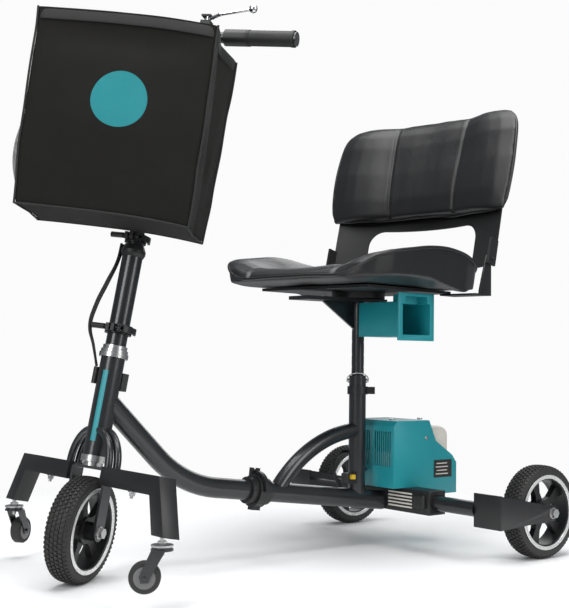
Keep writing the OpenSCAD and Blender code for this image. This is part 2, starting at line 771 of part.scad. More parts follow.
// U-shaped plate: a base in front of the wheel and two arms that taper to the axle
module wheel_bracket() {
  front = side_x + 12;
  half = bracket_gap / 2;
  difference() {
    union() {
      translate([front - fork_t, -half - fork_t, side_z - bracket_w / 2])
        cube([fork_t, 2 * (half + fork_t), bracket_w]);
      for (y = [-1, 1]) translate([0, y * (half + fork_t / 2), 0]) rotate([90, 0, 0])
        linear_extrude(fork_t, center = true) polygon([
          [front, side_z - bracket_w / 2], [front, side_z + bracket_w / 2],
          [rear_x + 6, wheel_r + 16], [rear_x + 6, wheel_r - 16]]);
      for (y = [-1, 1]) translate([rear_x, y * (half + fork_t / 2), wheel_r]) across()
        cylinder(h = fork_t, r = 17, center = true);
    }
    translate([rear_x, 0, wheel_r]) across() cylinder(h = 200, d = axle_d, center = true);
  }
}
module wheel_brackets() {
  color([0.1, 0.1, 0.11]) mirrored_y() translate([0, track / 2, 0]) wheel_bracket();
}

// Power pack: outline in the XZ plane, measured from the cross box
pack_front = box_front + 28;
pack_z = box_z + box_h / 2 + 4;
pack_top = pack_z + pack_h;
pack_back = box_front - box_d - 124;
module pack_outline(inset) {
  polygon([
    [pack_front - inset, pack_z - 4 - inset / 2], [pack_front - inset, pack_top - 12 - inset / 2],
    [pack_front - 10 - inset, pack_top - inset], [pack_front - 112 + inset / 2, pack_top - inset],
    [pack_front - 134 + inset / 2, pack_top - 48 - inset], [pack_back + 14 + inset, pack_top - 82],
    [pack_back + inset, pack_top - 100], [pack_back + inset, pack_z - 24 + inset],
    [box_front - box_d - 4 - inset, pack_z - 24 + inset],
    [box_front - box_d - 4 - inset, pack_z - 4 - inset / 2]]);
}
module pack_base() {
  color([0.1, 0.1, 0.1]) {
    translate([box_front - box_d, -pack_w / 2 + 6, pack_z - 4])
      cube([pack_front - box_front + box_d - 4, pack_w - 12, 6.5]);
  }
}
module pack_shell() {
  shell_t = 3;
  color([0.1, 0.66, 0.68]) difference() {
    rotate([90, 0, 0]) linear_extrude(pack_w, center = true) pack_outline(0);
    rotate([90, 0, 0]) linear_extrude(pack_w - 2 * shell_t, center = true) pack_outline(shell_t);
    for (k = [0:7], side = [-1, 1])
      translate([pack_front - 5, side * (10 + k * 7) - 2, pack_z + 44]) cube([10, 4, 78]);
  }
}
module pack_battery() {
  color([0.85, 0.84, 0.8]) translate([pack_back + 48, -pack_w / 2 + 12, pack_z + 2.5])
    cube([pack_front - pack_back - 76, pack_w - 24, pack_h - 76]);
}

// Wires beside the foot of the seat tube, and the lead along the down tube
wire_d = 4;
loop_route = [[seat_x + 34, -16.8, 133.6], [seat_x + 44, -28, 168], [seat_x + 32, -34, 202],
  [seat_x + 4, -33, 214], [seat_x - 22, -29, 198], [seat_x - 36, -24, 178], [pack_front + 1.4, -20, 170]];
lead_route = [[front_x - 62, -22, 356], [front_x - 84, -23, 327], [front_x - 105, -20.6, 305],
  [front_x - 129, -13, 285], [front_x - 151, -5, 267]];
module wiring() {
  color([0.05, 0.05, 0.05]) {
    cable(loop_route, wire_d, 3);
    cable(lead_route, wire_d, 3);
  }
}

// Sheath, zip ties and plug on the head tube
module cable_fittings() {
  color([0.04, 0.04, 0.04]) at_head() {
    translate([20, -20.4, 274]) cylinder(h = 32, d = 11);
    translate([-head_d / 2 - 13.1, -9, 268]) cube([13, 18, 34]);
  }
}

// ---------- seat ----------
module seat_post() {
  color([0.09, 0.09, 0.09]) translate([seat_x, 0, 0]) {
    difference() {
      translate([0, 0, post_low]) cylinder(h = bracket_z - post_low, d = seat_post_d);
      translate([0, 0, post_low - eps]) cylinder(h = bracket_z - post_low - 6, d = seat_post_d - 2 * wall);
      for (k = [0:3]) translate([0, 0, seat_tube_top + 20 + 28 * k]) rotate([0, 90, -40])
        cylinder(h = 60, r = 4, center = true);
    }
    translate([-60, -32, bracket_z]) cube([236, 64, bracket_t]);
    rotate([90, 0, 0]) linear_extrude(5, center = true) polygon([
      [seat_post_d / 2 - 1, bracket_z - 62], [seat_post_d / 2 - 1, bracket_z + 1],
      [110, bracket_z + 1]]);
    translate([0, 0, bracket_z + bracket_t]) cylinder(h = 8, r = 14);
  }
}

// Open box on the left of the post: a deep lower part, a shallow upper part and a rim
holder_l = 90;
holder_h = 76;
holder_upper = 16;
holder_y = 22;
holder_depth = 138;
holder_t = 4;
holder_rim = 9;
module holder() {
  x = seat_x + 18 - holder_l;
  z = bracket_z - holder_h - 2.3;
  mouth = holder_y + holder_depth;
  color([0.1, 0.66, 0.68]) {
    difference() {
      union() {
        translate([x, holder_y, z]) cube([holder_l, holder_depth, holder_h]);
        translate([x + 8, mouth - 36, z]) cube([holder_l - 16, 36, holder_h + holder_upper]);
        translate([x - holder_rim, mouth - 5, z - holder_rim])
          cube([holder_l + 2 * holder_rim, 5, holder_h + holder_upper + holder_rim + 3]);
      }
      translate([x + holder_t, holder_y + holder_t, z + holder_t])
        cube([holder_l - 2 * holder_t, holder_depth, holder_h - 2 * holder_t]);
      translate([x + 8 + holder_t, mouth - 36 + holder_t, z + holder_h - 2 * holder_t])
        cube([holder_l - 16 - 2 * holder_t, 36, holder_upper + holder_t]);
    }
    translate([x + 14, -10, bracket_z - 2.3]) cube([40, holder_y + 20, 2.3]);
  }
}

// Seat pan under the pad: a flat plate on the swivel with side walls
module seat_shell() {
  color([0.07, 0.07, 0.07]) at_seat() {
    translate([0, 0, bracket_z + bracket_t + gap]) difference() {
      cylinder(h = seat_z - bracket_z - bracket_t - gap, r = 60);
      translate([0, 0, -eps]) cylinder(h = 9, r = 14 + fit);
    }
    translate([-150, -150, seat_z - 6]) difference() {
      cube([310, 300, 6]);
      translate([150, 150, -1]) cylinder(h = 8, r = 60);
    }
  }
}

// Seat stations: place along x, half width, middle height, side rise, underside height,
// side drop of the underside
seat_stations = [
  [-200, seat_half - 78, 40, 0, 14, 0], [-188, seat_half - 44, 38, 20, 2, 0],
  [-150, seat_half - 22, 32, 38, 0, 0], [-95, seat_half - 4, 27, 58, 0, -12],
  [-10, seat_half, 27, 68, 0, 2], [50, seat_half, 29, 64, 0, 14], [115, seat_half - 2, 33, 52, 0, 16],
  [170, seat_half - 10, 36, 42, 0, 14], [208, seat_half - 26, 35, 32, 0, 10],
  [230, seat_half - 50, 28, 18, 3, 6], [243, seat_half - 86, 18, 0, 8, 0]];
function seat_ring(s) = concat(
  [for (i = [8:-1:-8]) let (t = i / 8)
    [s[0], s[1] * t, seat_z + s[2] + s[3] * pow(abs(t), 2.6) - 10 * pow(abs(t), 14)]],
  [for (i = [-5:5]) let (t = i / 5)
    [s[0], s[1] * t * 0.96, seat_z + s[4] + s[5] * pow(abs(t), 14)]]);
module seat_pad() {
  color([0.06, 0.06, 0.06]) at_seat() translate([0, 0, gap]) loft([for (s = seat_stations) seat_ring(s)]);
}

// Hinge plates at the back corners of the pan, with the pins of the backrest
module hinge_plates() {
  color([0.08, 0.08, 0.08]) at_seat() mirrored_y() {
    translate([hinge_x, hinge_y - 9, 0]) rotate([90, 0, 0]) linear_extrude(4, center = true)
      polygon([[-10, seat_z - 6], [38, seat_z - 6], [38, seat_z], [10, hinge_z + 5],
        [5, hinge_z + 10], [-5, hinge_z + 10], [-10, hinge_z + 5]]);
    translate([hinge_x - 10, 130, seat_z - 6 - plate_t]) cube([60, hinge_y - 141, plate_t]);
    translate([hinge_x - 10, hinge_y - 11, seat_z - 6 - plate_t]) cube([48, 4, plate_t + eps]);
    translate([hinge_x, hinge_y - 11, hinge_z]) across() cylinder(h = 18, r = 4);
  }
}

// Curved sheet behind the pad, with an arched opening between its two legs
module backrest_shell() {
  half = asin((hinge_y + 2) / back_r);
  color([0.08, 0.08, 0.08]) at_back() difference() {
    union() {
      intersection() {
        translate([back_r - back_set, 0, -8]) rotate_extrude(angle = 2 * half, start = 180 - half, $fn = 180)
          translate([back_r, 0]) square([back_t, back_h + 4]);
        rotate([90, 0, 90]) linear_extrude(400, center = true) back_face();
      }
      mirrored_y() translate([-14, hinge_y - 3, -14]) cube([30, 6, 60]);
    }
    across() cylinder(h = 600, r = 4 + fit, center = true);
    rotate([90, 0, 90]) linear_extrude(400, center = true) {
      translate([-window_w, -30]) square([2 * window_w, window_top - 10]);
      translate([40 - window_w, window_top - 41]) square([2 * window_w - 80, 41]);
      for (s = [-1, 1]) translate([s * (window_w - 40), window_top - 40]) circle(r = 40);
    }
  }
}
// Front view of the backrest: y across and z up from the hinge
module back_face() {
  w = hinge_y + 2;
  r = 60;
  top = back_h - 8;
  translate([-w, -20]) square([2 * w, top + 20 - r]);
  translate([r - w, 0]) square([2 * (w - r), top]);
  for (s = [-1, 1]) translate([s * (w - r), top - r]) circle(r = r);
}

// Pad rings rise along z; each follows the shell's curve and is crowned toward the rider
// Stations: share of the height, half width, thickness
back_stations = [[0.3, 244, 24], [0.315, 254, 34], [0.44, 262, 42], [0.63, 264, 44],
  [0.82, 260, 42], [0.91, 250, 38], [0.96, 234, 32], [0.985, 212, 24]];
back_arch = 16;
function back_ring(s) =
  let (z = s[0] * back_h, a = asin(s[1] / back_r), inner = back_r - gap,
    lift = back_arch * max(0, 1 - (s[0] - 0.3) / 0.3))
  concat(
    [for (i = [-8:8]) let (t = i / 8, r = inner - 2 - (s[2] - 2) * (1 - pow(abs(t), 6)))
      [back_r - back_set - r * cos(a * t), r * sin(a * t), z + lift * (1 - t * t)]],
    [for (i = [8:-1:-8]) let (t = i / 8)
      [back_r - back_set - inner * cos(a * t), inner * sin(a * t), z + lift * (1 - t * t)]]);
module backrest_pad() {
  color([0.06, 0.06, 0.06]) at_back() loft([for (s = back_stations) back_ring(s)]);
}

head_tube();
headset_cups();
stays();
outriggers();
outrigger_bolts();
caster_stems();
main_tube_front();
coupling_sleeves();
coupling_clamp();
main_tube_rear();
brace_tube();
seat_tube();
seat_clamp();
seat_pin();
cross_box();
side_arms();
wheel_brackets();
rear_axles();
pack_base();
pack_shell();
pack_battery();
wiring();
cable_fittings();
fork();
steering_tube();
headset_races();
front_axle();
tube_clamps();
collar();
control_cables();
front_tyre();
front_rim();
rear_left_tyre();
rear_left_rim();
rear_right_tyre();
rear_right_rim();
caster_left_fork();
caster_left_wheel();
caster_right_fork();
caster_right_wheel();
inner_post();
handlebar();
grip_left();
grip_right();
brake_mount();
brake_lever();
throttle();
bag_bracket();
bag();
lower_lever();
upper_lever();
coupling_lever();
seat_post();
holder();
seat_shell();
seat_pad();
backrest_shell();
backrest_pad();
hinge_plates();
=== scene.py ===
# %% [markdown]
# # A seated travel scooter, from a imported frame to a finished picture
# The metal frame, wheels and joints come from CAD as a fixed frame in metres. This lesson
# dresses it: it adds a camera and light, then the cloth bag, the vinyl seat and backrest,
# the tyre treads, the rims, the cables and small trim, and gives every surface a material.
# %% Load the frame
import bpy, bmesh, json, math
from mathutils import Matrix, Vector, noise


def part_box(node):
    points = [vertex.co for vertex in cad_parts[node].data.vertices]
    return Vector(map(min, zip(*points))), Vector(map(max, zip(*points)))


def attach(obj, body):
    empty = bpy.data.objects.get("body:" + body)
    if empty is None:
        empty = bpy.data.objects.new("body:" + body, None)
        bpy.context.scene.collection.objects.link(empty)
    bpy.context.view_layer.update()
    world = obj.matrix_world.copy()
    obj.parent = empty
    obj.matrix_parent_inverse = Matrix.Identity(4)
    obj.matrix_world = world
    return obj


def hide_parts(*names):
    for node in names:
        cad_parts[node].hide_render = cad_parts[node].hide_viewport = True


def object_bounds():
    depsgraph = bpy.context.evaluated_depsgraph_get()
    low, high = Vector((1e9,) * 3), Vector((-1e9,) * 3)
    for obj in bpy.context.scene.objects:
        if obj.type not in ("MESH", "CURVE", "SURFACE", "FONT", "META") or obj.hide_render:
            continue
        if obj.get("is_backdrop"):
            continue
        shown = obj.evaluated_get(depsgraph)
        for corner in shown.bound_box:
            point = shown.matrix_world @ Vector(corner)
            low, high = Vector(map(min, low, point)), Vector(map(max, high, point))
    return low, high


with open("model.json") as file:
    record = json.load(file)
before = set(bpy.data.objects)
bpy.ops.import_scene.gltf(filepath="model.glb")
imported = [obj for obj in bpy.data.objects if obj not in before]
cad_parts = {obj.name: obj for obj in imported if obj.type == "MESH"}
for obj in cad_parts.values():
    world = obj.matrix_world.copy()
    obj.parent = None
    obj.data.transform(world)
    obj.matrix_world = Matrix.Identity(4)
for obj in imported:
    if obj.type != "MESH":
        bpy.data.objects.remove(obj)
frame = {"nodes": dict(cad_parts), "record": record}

low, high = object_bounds()
cad_box = [list(low), list(high)]
nodes = frame["nodes"]
joints = {j["name"]: j for j in frame["record"]["behaviour"]["joints"]}
print(len(nodes), "nodes,", len(joints), "joints, box", [round(v, 3) for v in high - low])

# %% [markdown]
# Every piece is easier to shape in its own axes than in the room's. Four small frames are
# taken from the joints: the fork's, which leans and is turned with the steering, the bag's,
# which is turned a little further, the seat's, which is turned on its post, and the
# backrest's, which leans back at its hinge.
# %% Working axes
def axes(origin, up, side):
    up, side = Vector(up).normalized(), Vector(side).normalized()
    turn = Matrix((side.cross(up), side, up)).transposed().to_4x4()
    return Matrix.Translation(Vector(origin)) @ turn

bag_turn, back_lean = math.radians(10), math.radians(14)
steer = joints["steering_turn"]
fork_axes = axes(steer["pos_m"], steer["axis"], joints["front_wheel_spin"]["axis"])
bag_axes = fork_axes @ Matrix.Rotation(bag_turn, 4, "Z")
swivel, fold = joints["seat_swivel"], joints["backrest_fold"]
seat_axes = axes(swivel["pos_m"], (0, 0, 1), fold["axis"])
back_axes = Matrix.Translation(Vector(fold["pos_m"])) @ seat_axes.to_3x3().to_4x4() \
    @ Matrix.Rotation(-back_lean, 4, "Y")

def local_box(node, where):
    back = where.inverted()
    points = [back @ v.co for v in nodes[node].data.vertices]
    return (Vector([min(p[k] for p in points) for k in range(3)]),
            Vector([max(p[k] for p in points) for k in range(3)]))

bag_low, bag_high = local_box("bag", bag_axes)
print("bag in its own axes", [round(v, 3) for v in bag_low], [round(v, 3) for v in bag_high])

# %% [markdown]
# The camera stands low, ahead of the scooter on the rider's left. Its place and turn were
# worked out once and are set as plain numbers. Nothing shifts or blurs.
# %% Camera
camera_place = Vector((1.4555, 1.8828, 0.4288))
yaw, pitch, roll = math.radians(51.988), math.radians(2.720), math.radians(0.687)
look = Vector((-math.cos(yaw) * math.cos(pitch), -math.sin(yaw) * math.cos(pitch), math.sin(pitch)))
right = look.cross(Vector((0, 0, 1))).normalized()
above = right.cross(look)
right, above = (math.cos(roll) * right + math.sin(roll) * above,
                math.cos(roll) * above - math.sin(roll) * right)
camera_data = bpy.data.cameras.new("camera")
sensor, image_side, reach_of_lens = 36, 608, 1110
camera_data.sensor_width = sensor
camera_data.lens = reach_of_lens * sensor / image_side
camera = bpy.data.objects.new("camera", camera_data)
bpy.context.scene.collection.objects.link(camera)
camera_turn = Matrix((right, above, -look)).transposed().to_4x4()
camera.matrix_world = Matrix.Translation(camera_place) @ camera_turn
bpy.context.scene.camera = camera
print("lens", round(camera_data.lens, 2), "mm")

# %% [markdown]
# A studio shot of dark goods needs large soft lights: their reflections draw the edges of
# black tubes. One big light is overhead, tall ones stand by the camera and at the rider's
# left, and a weak one stands behind. The floor is a pale sheet that fades out with distance.
# %% Lights and floor
def soft_light(name, place, target, width, height, power):
    data = bpy.data.lights.new(name, "AREA")
    data.shape, data.size, data.size_y, data.energy = "RECTANGLE", width, height, power
    light = bpy.data.objects.new(name, data)
    bpy.context.scene.collection.objects.link(light)
    light.location = place
    light.rotation_euler = (Vector(target) - Vector(place)).to_track_quat("-Z", "Y").to_euler()

soft_light("overhead", (0.2, 0.3, 3.0), (0, 0, 0.4), 2.6, 2.6, 105)
soft_light("camera_side", (2.9, 1.0, 1.7), (0, 0, 0.5), 1.0, 2.2, 44)
soft_light("left_strip", (-0.8, 3.0, 1.5), (-0.2, 0, 0.5), 1.2, 2.0, 38)
soft_light("behind", (-2.4, -1.8, 1.6), (0, 0, 0.5), 1.6, 1.6, 14)
world = bpy.data.worlds.new("studio")
bpy.context.scene.world = world
world.use_nodes = True
sky = world.node_tree
room = sky.nodes["Background"]
room.inputs["Color"].default_value = (0.90, 0.94, 1.0, 1)
room.inputs["Strength"].default_value = 0.24
paper_back = sky.nodes.new("ShaderNodeBackground")
paper_back.inputs["Color"].default_value = (1.0, 1.0, 1.0, 1)
paper_back.inputs["Strength"].default_value = 0.97
ray = sky.nodes.new("ShaderNodeLightPath")
choose = sky.nodes.new("ShaderNodeMixShader")
sky.links.new(ray.outputs["Is Camera Ray"], choose.inputs[0])
sky.links.new(room.outputs[0], choose.inputs[1])
sky.links.new(paper_back.outputs[0], choose.inputs[2])
sky.links.new(choose.outputs[0], sky.nodes["World Output"].inputs["Surface"])
bpy.context.scene.view_settings.view_transform = "Standard"

def deselect():
    if bpy.context.object and bpy.context.object.mode != "OBJECT":
        bpy.ops.object.mode_set(mode="OBJECT")
    bpy.ops.object.select_all(action="DESELECT")

deselect()
bpy.ops.mesh.primitive_plane_add(size=30)
floor = bpy.context.object
floor.name = "floor"
floor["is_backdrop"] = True
print("floor and four lights")

# %% [markdown]
# Shader maths reads best as arithmetic. The class below wraps a socket, so that
# `1 - mask * 0.5` adds the Math nodes by itself, and `node` makes any other node.
# %% A small shader language
class Flow:
    def __init__(self, tree, socket):
        self.tree, self.socket = tree, socket

    def node(self, kind, settings=None, **values):
        made = self.tree.nodes.new(kind)
        for key, value in (settings or {}).items():
            if key == "stops":
                ramp = made.color_ramp.elements
                while len(ramp) < len(value):
                    ramp.new(0.5)
                for stop, (where, colour) in zip(ramp, value):
                    stop.position, stop.color = where, colour
            else:
                setattr(made, key, value)
        for key, value in values.items():
            target = made.inputs[int(key[1:])] if key[0] == "_" else made.inputs[key.replace("_", " ")]
            if isinstance(value, Flow):
                self.tree.links.new(value.socket, target)
            else:
                target.default_value = value
        return Flow(self.tree, made.outputs[0])

    def out(self, name):
        return Flow(self.tree, self.socket.node.outputs[name])

    def _math(self, kind, a, b=0.0):
        return self.node("ShaderNodeMath", {"operation": kind}, _0=a, _1=b)

    def __add__(self, other): return self._math("ADD", self, other)
    def __radd__(self, other): return self._math("ADD", other, self)
    def __sub__(self, other): return self._math("SUBTRACT", self, other)
    def __rsub__(self, other): return self._math("SUBTRACT", other, self)
    def __mul__(self, other): return self._math("MULTIPLY", self, other)
    def __rmul__(self, other): return self._math("MULTIPLY", other, self)
    def above(self, other): return self._math("GREATER_THAN", self, other)
    def below(self, other): return self._math("LESS_THAN", self, other)
    def lowest(self, other): return self._math("MINIMUM", self, other)
    def absolute(self): return self._math("ABSOLUTE", self)
    def sine(self): return self._math("SINE", self)

    def part(self, axis):
        return self.node("ShaderNodeSeparateXYZ", _0=self).out(axis)

    def stretched(self, *scale):
        return self.node("ShaderNodeVectorMath", {"operation": "MULTIPLY"}, _0=self, _1=scale)

    def noise(self, scale, detail=3.0, roughness=0.55):
        made = self.node("ShaderNodeTexNoise", Vector=self, Scale=scale, Detail=detail, Roughness=roughness)
        return made.out("Fac")

    def cells(self, scale, feature="F1"):
        made = self.node("ShaderNodeTexVoronoi", {"feature": feature}, Vector=self, Scale=scale)
        return made.out("Distance")

    def between(self, a, b):
        def side(value):
            return value if isinstance(value, Flow) else (*value, 1.0)
        mixed = self.node("ShaderNodeMix", {"data_type": "RGBA"}, _0=self, _6=side(a), _7=side(b))
        return Flow(self.tree, mixed.socket.node.outputs[2])

def new_material(name, build, **fixed):
    made = bpy.data.materials.new(name)
    made.use_nodes = True
    tree = made.node_tree
    shader = tree.nodes["Principled BSDF"]
    for key, value in fixed.items():
        shader.inputs[key.replace("_", " ")].default_value = value
    place = tree.nodes.new("ShaderNodeTexCoord")
    start = Flow(tree, place.outputs["Object"])
    uv = Flow(tree, place.outputs["UV"])
    for key, value in build(start, uv).items():
        if key == "bump":
            height, strength, distance = value
            value = height.node("ShaderNodeBump", Height=height, Strength=strength, Distance=distance)
            key = "Normal"
        target = shader.inputs[key.replace("_", " ")]
        if isinstance(value, Flow):
            tree.links.new(value.socket, target)
        else:
            target.default_value = (*value, 1.0) if isinstance(value, tuple) else value
    return made

# %% [markdown]
# **Powder coat.** Baked powder is never flat: it has an orange-peel skin of about a
# millimetre, faint cloudy patches in its gloss and scattered scuffs.
# %% Powder coats and plain metals
def powder(dark, pale, rough):
    def build(p, uv):
        peel = p.noise(900, 2)
        cloud = p.noise(9, 4)
        scuff = p.noise(55, 6, 0.7).above(0.66) * p.noise(400, 2) * 0.5
        return {"Base_Color": (cloud * 0.8 + scuff * 0.6).between(dark, pale),
                "Roughness": cloud * 0.16 + scuff * 0.15 + rough, "bump": (peel + scuff * 0.4, 0.14, 0.0006)}
    return build

graphite_coat = powder((0.008, 0.0085, 0.010), (0.018, 0.019, 0.021), 0.24)
black_coat = powder((0.007, 0.007, 0.0075), (0.016, 0.016, 0.017), 0.32)
graphite = new_material("graphite powder coat", graphite_coat, Coat_Weight=0.35, Coat_Roughness=0.12)
satin_black = new_material("satin black powder coat", black_coat)

def brushed(colour, rough, grain):
    def build(p, uv):
        lines = p.stretched(60, 60, 900).noise(3, 3)
        stain = p.noise(40, 4)
        return {"Base_Color": (stain * 0.8).between(colour, tuple(c * 0.72 for c in colour)),
                "Roughness": lines * 0.18 + stain * 0.1 + rough, "bump": (lines, grain, 0.0003)}
    return build

plated_steel = new_material("plated steel", brushed((0.62, 0.62, 0.61), 0.16, 0.10), Metallic=1.0)
polished_alloy = new_material("polished alloy", brushed((0.82, 0.82, 0.83), 0.08, 0.03), Metallic=1.0)
machined_ring = new_material("machined rim face", brushed((0.88, 0.88, 0.87), 0.14, 0.16), Metallic=0.7)

# %% [markdown]
# **Moulded plastic** has a spark-eroded grain, so fine that it only softens the gloss.
# %% Plastics and rubbers
def moulded(dark, pale, rough, grain=0.2, scale=1400):
    def build(p, uv):
        spark = p.noise(scale, 2)
        flow = p.noise(6, 3)
        rub = p.noise(70, 5, 0.65).above(0.68) * 0.6
        return {"Base_Color": (flow * 0.7 + rub * 0.25).between(dark, pale),
                "Roughness": flow * 0.12 + rub * 0.08 + rough, "bump": (spark, grain, 0.0004)}
    return build

teal_plastic = new_material(
    "teal moulded plastic", moulded((0.008, 0.235, 0.275), (0.018, 0.34, 0.375), 0.34))
white_plastic = new_material(
    "off-white moulded plastic", moulded((0.60, 0.57, 0.51), (0.78, 0.76, 0.70), 0.36))
black_plastic = new_material(
    "black moulded plastic", moulded((0.008, 0.008, 0.008), (0.02, 0.02, 0.021), 0.38, 0.3))
yellow_plastic = new_material(
    "yellow moulded plastic", moulded((0.55, 0.36, 0.01), (0.75, 0.52, 0.02), 0.4))
hub_plastic = new_material(
    "grey hub plastic", moulded((0.10, 0.10, 0.10), (0.20, 0.20, 0.20), 0.4))
cable_jacket = new_material(
    "cable jacket", moulded((0.006, 0.006, 0.006), (0.014, 0.014, 0.014), 0.42, 0.25, 700))
grip_rubber = new_material(
    "grip rubber", moulded((0.007, 0.007, 0.007), (0.016, 0.016, 0.016), 0.52, 0.55, 500))

def rubber_skin(p, uv):
    dust = p.noise(30, 5, 0.65)
    pores = p.noise(1100, 3)
    return {"Base_Color": dust.between((0.009, 0.009, 0.009), (0.03, 0.029, 0.027)),
            "Roughness": dust * 0.2 + 0.5, "bump": (pores + dust * 0.5, 0.25, 0.0008)}
tyre_rubber = new_material("tyre rubber", rubber_skin)

# %% [markdown]
# **Vinyl** carries a pressed leather grain: small rounded cells with creases between them,
# over broader soft wrinkles. The creases are matt and the cells shine.
# %% Vinyl, woven cloth and mesh
def vinyl_skin(p, uv):
    pebbles = p.cells(620, "DISTANCE_TO_EDGE").lowest(0.22)
    wrinkle = p.noise(34, 4, 0.6)
    wear = p.noise(8, 3)
    return {"Base_Color": (wear * 0.7).between((0.004, 0.004, 0.0043), (0.011, 0.011, 0.0118)),
            "Roughness": 0.40 - pebbles * 0.5 + wear * 0.1,
            "bump": (pebbles * 1.4 + wrinkle * 0.9, 0.28, 0.0012)}
vinyl = new_material("black vinyl", vinyl_skin, Coat_Weight=0.15, Coat_Roughness=0.25)

def thread(p, uv):
    twist = (p.part("X") * 3000 + p.part("Y") * 3000 + p.part("Z") * 5200).sine() * 0.5 + 0.5
    return {"Base_Color": twist.between((0.006, 0.006, 0.006), (0.045, 0.045, 0.046)),
            "Roughness": 0.7, "bump": (twist, 0.4, 0.0004)}
stitch_thread = new_material("stitching thread", thread)

# The bag's map is laid in metres: across and up on each face, with the front face at zero.
print_across, print_up, print_radius = 0.009, 0.206, 0.052

def woven(p, uv):
    across, up = uv.part("X"), uv.part("Y")
    warp = (across * 5200).sine()
    weft = (up * 5200).sine()
    over = (warp * weft) * 0.5 + 0.5
    slub = p.noise(260, 3)
    fade = p.noise(7, 4, 0.6)
    dx, dy = across - print_across, up - print_up
    radius = dx.node("ShaderNodeMath", {"operation": "SQRT"}, _0=dx * dx + dy * dy)
    print_mask = radius.below(print_radius)
    cloth = (over * 0.45 + slub * 0.3 + fade * 0.35).between((0.002, 0.002, 0.0016), (0.013, 0.0125, 0.0105))
    ink = (over * 0.3 + slub * 0.4).between((0.012, 0.22, 0.25), (0.03, 0.33, 0.36))
    return {"Base_Color": print_mask.between(cloth, ink), "Roughness": 0.82 - print_mask * 0.3 - over * 0.12,
            "bump": (over * 0.6 + slub * 0.6 + fade * 0.5, 0.45, 0.0011)}
polyester = new_material("woven polyester", woven, Sheen_Weight=0.03, Sheen_Roughness=0.4,
                         Specular_IOR_Level=0.22)

def webbing(p, uv):
    ribs = (p.part("Z") * 4200 + p.part("X") * 900).sine() * 0.5 + 0.5
    fuzz = p.noise(900, 3)
    return {"Base_Color": (ribs * 0.6 + fuzz * 0.3).between((0.004, 0.004, 0.004), (0.024, 0.024, 0.023)),
            "Roughness": 0.7, "bump": (ribs + fuzz, 0.4, 0.0006)}
binding = new_material("bag binding", webbing)

def net(p, uv):
    a = ((uv.part("X") + uv.part("Y")) * 900).sine().absolute()
    b = ((uv.part("X") - uv.part("Y")) * 900).sine().absolute()
    holes = a.lowest(b).above(0.42)
    lint = p.noise(500, 2)
    return {"Base_Color": (lint * 0.5).between((0.02, 0.02, 0.02), (0.09, 0.09, 0.088)),
            "Roughness": 0.75, "Alpha": 1 - holes * 0.85, "bump": (lint, 0.2, 0.0004)}
netting = new_material("pocket netting", net)

def paper(p, uv):
    haze = p.noise(3, 2)
    flat = p.stretched(1, 1, 0)
    reach = flat.node("ShaderNodeVectorMath", {"operation": "DOT_PRODUCT"}, _0=flat, _1=flat).out("Value")
    fade = flat.node("ShaderNodeMapRange", {"interpolation_type": "SMOOTHERSTEP"}, Value=reach,
                     From_Min=0.55, From_Max=2.4, To_Min=1.0, To_Max=0.0)
    return {"Base_Color": haze.between((0.93, 0.93, 0.93), (0.96, 0.96, 0.96)), "Roughness": 0.7,
            "Alpha": fade, "bump": (haze, 0.02, 0.001)}
pale_floor = new_material("pale floor", paper)
floor.data.materials.append(pale_floor)
print(len(bpy.data.materials), "materials")

# %% [markdown]
# New pieces follow one path. They are shaped in their own small axes, moved into the row
# frame so that their object sits at the origin, given a material and hung on the body they
# ride on, and the CAD nodes they stand for are hidden.
# %% Finishing a piece
body_of_node = {n: b for b, held in frame["record"]["behaviour"]["bodies"].items() for n in held}

def finished(piece, body, slot, material, *stands_for):
    deselect()
    piece.select_set(True)
    bpy.context.view_layer.objects.active = piece
    bpy.ops.object.transform_apply(location=True, rotation=True, scale=True)
    if not piece.data.materials:
        piece.data.materials.append(material)
    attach(piece, body)
    if stands_for:
        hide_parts(*stands_for)
    return piece

def modify(piece, kind, **settings):
    modifier = piece.modifiers.new(kind.lower(), kind)
    for key, value in settings.items():
        setattr(modifier, key, value)
    deselect()
    bpy.context.view_layer.objects.active = piece
    piece.select_set(True)
    bpy.ops.object.modifier_apply(modifier=modifier.name)

def smooth(piece, degrees=40):
    deselect()
    bpy.context.view_layer.objects.active = piece
    piece.select_set(True)
    bpy.ops.object.shade_smooth_by_angle(angle=math.radians(degrees))

def tube(name, points, radius, sides=6, closed=False):
    curve = bpy.data.curves.new(name, "CURVE")
    curve.dimensions, curve.resolution_u = "3D", 8
    curve.bevel_depth, curve.bevel_resolution = radius, sides // 2
    curve.use_fill_caps = True
    spline = curve.splines.new("BEZIER")
    spline.bezier_points.add(len(points) - 1)
    for knot, point in zip(spline.bezier_points, points):
        knot.co = point
        knot.handle_left_type = knot.handle_right_type = "AUTO"
    spline.use_cyclic_u = closed
    made = bpy.data.objects.new(name, curve)
    bpy.context.scene.collection.objects.link(made)
    deselect()
    made.select_set(True)
    bpy.context.view_layer.objects.active = made
    bpy.ops.object.convert(target="MESH")
    made = bpy.context.object
    made.name = name
    smooth(made, 60)
    return made

def joined(name, parts):
    deselect()
    for part in parts:
        part.select_set(True)
    bpy.context.view_layer.objects.active = parts[0]
    if len(parts) > 1:
        bpy.ops.object.join()
    made = bpy.context.object
    made.name = name
    return made

def block(name, size, centre, bevel=0.0008, where=Matrix.Identity(4), segments=2):
    deselect()
    bpy.ops.mesh.primitive_cube_add(size=1)
    made = bpy.context.object
    made.name = name
    made.data.transform(where @ Matrix.Translation(Vector(centre)) @ Matrix.Diagonal((*size, 1)))
    modify(made, "BEVEL", width=bevel, segments=segments, limit_method="ANGLE")
    return made

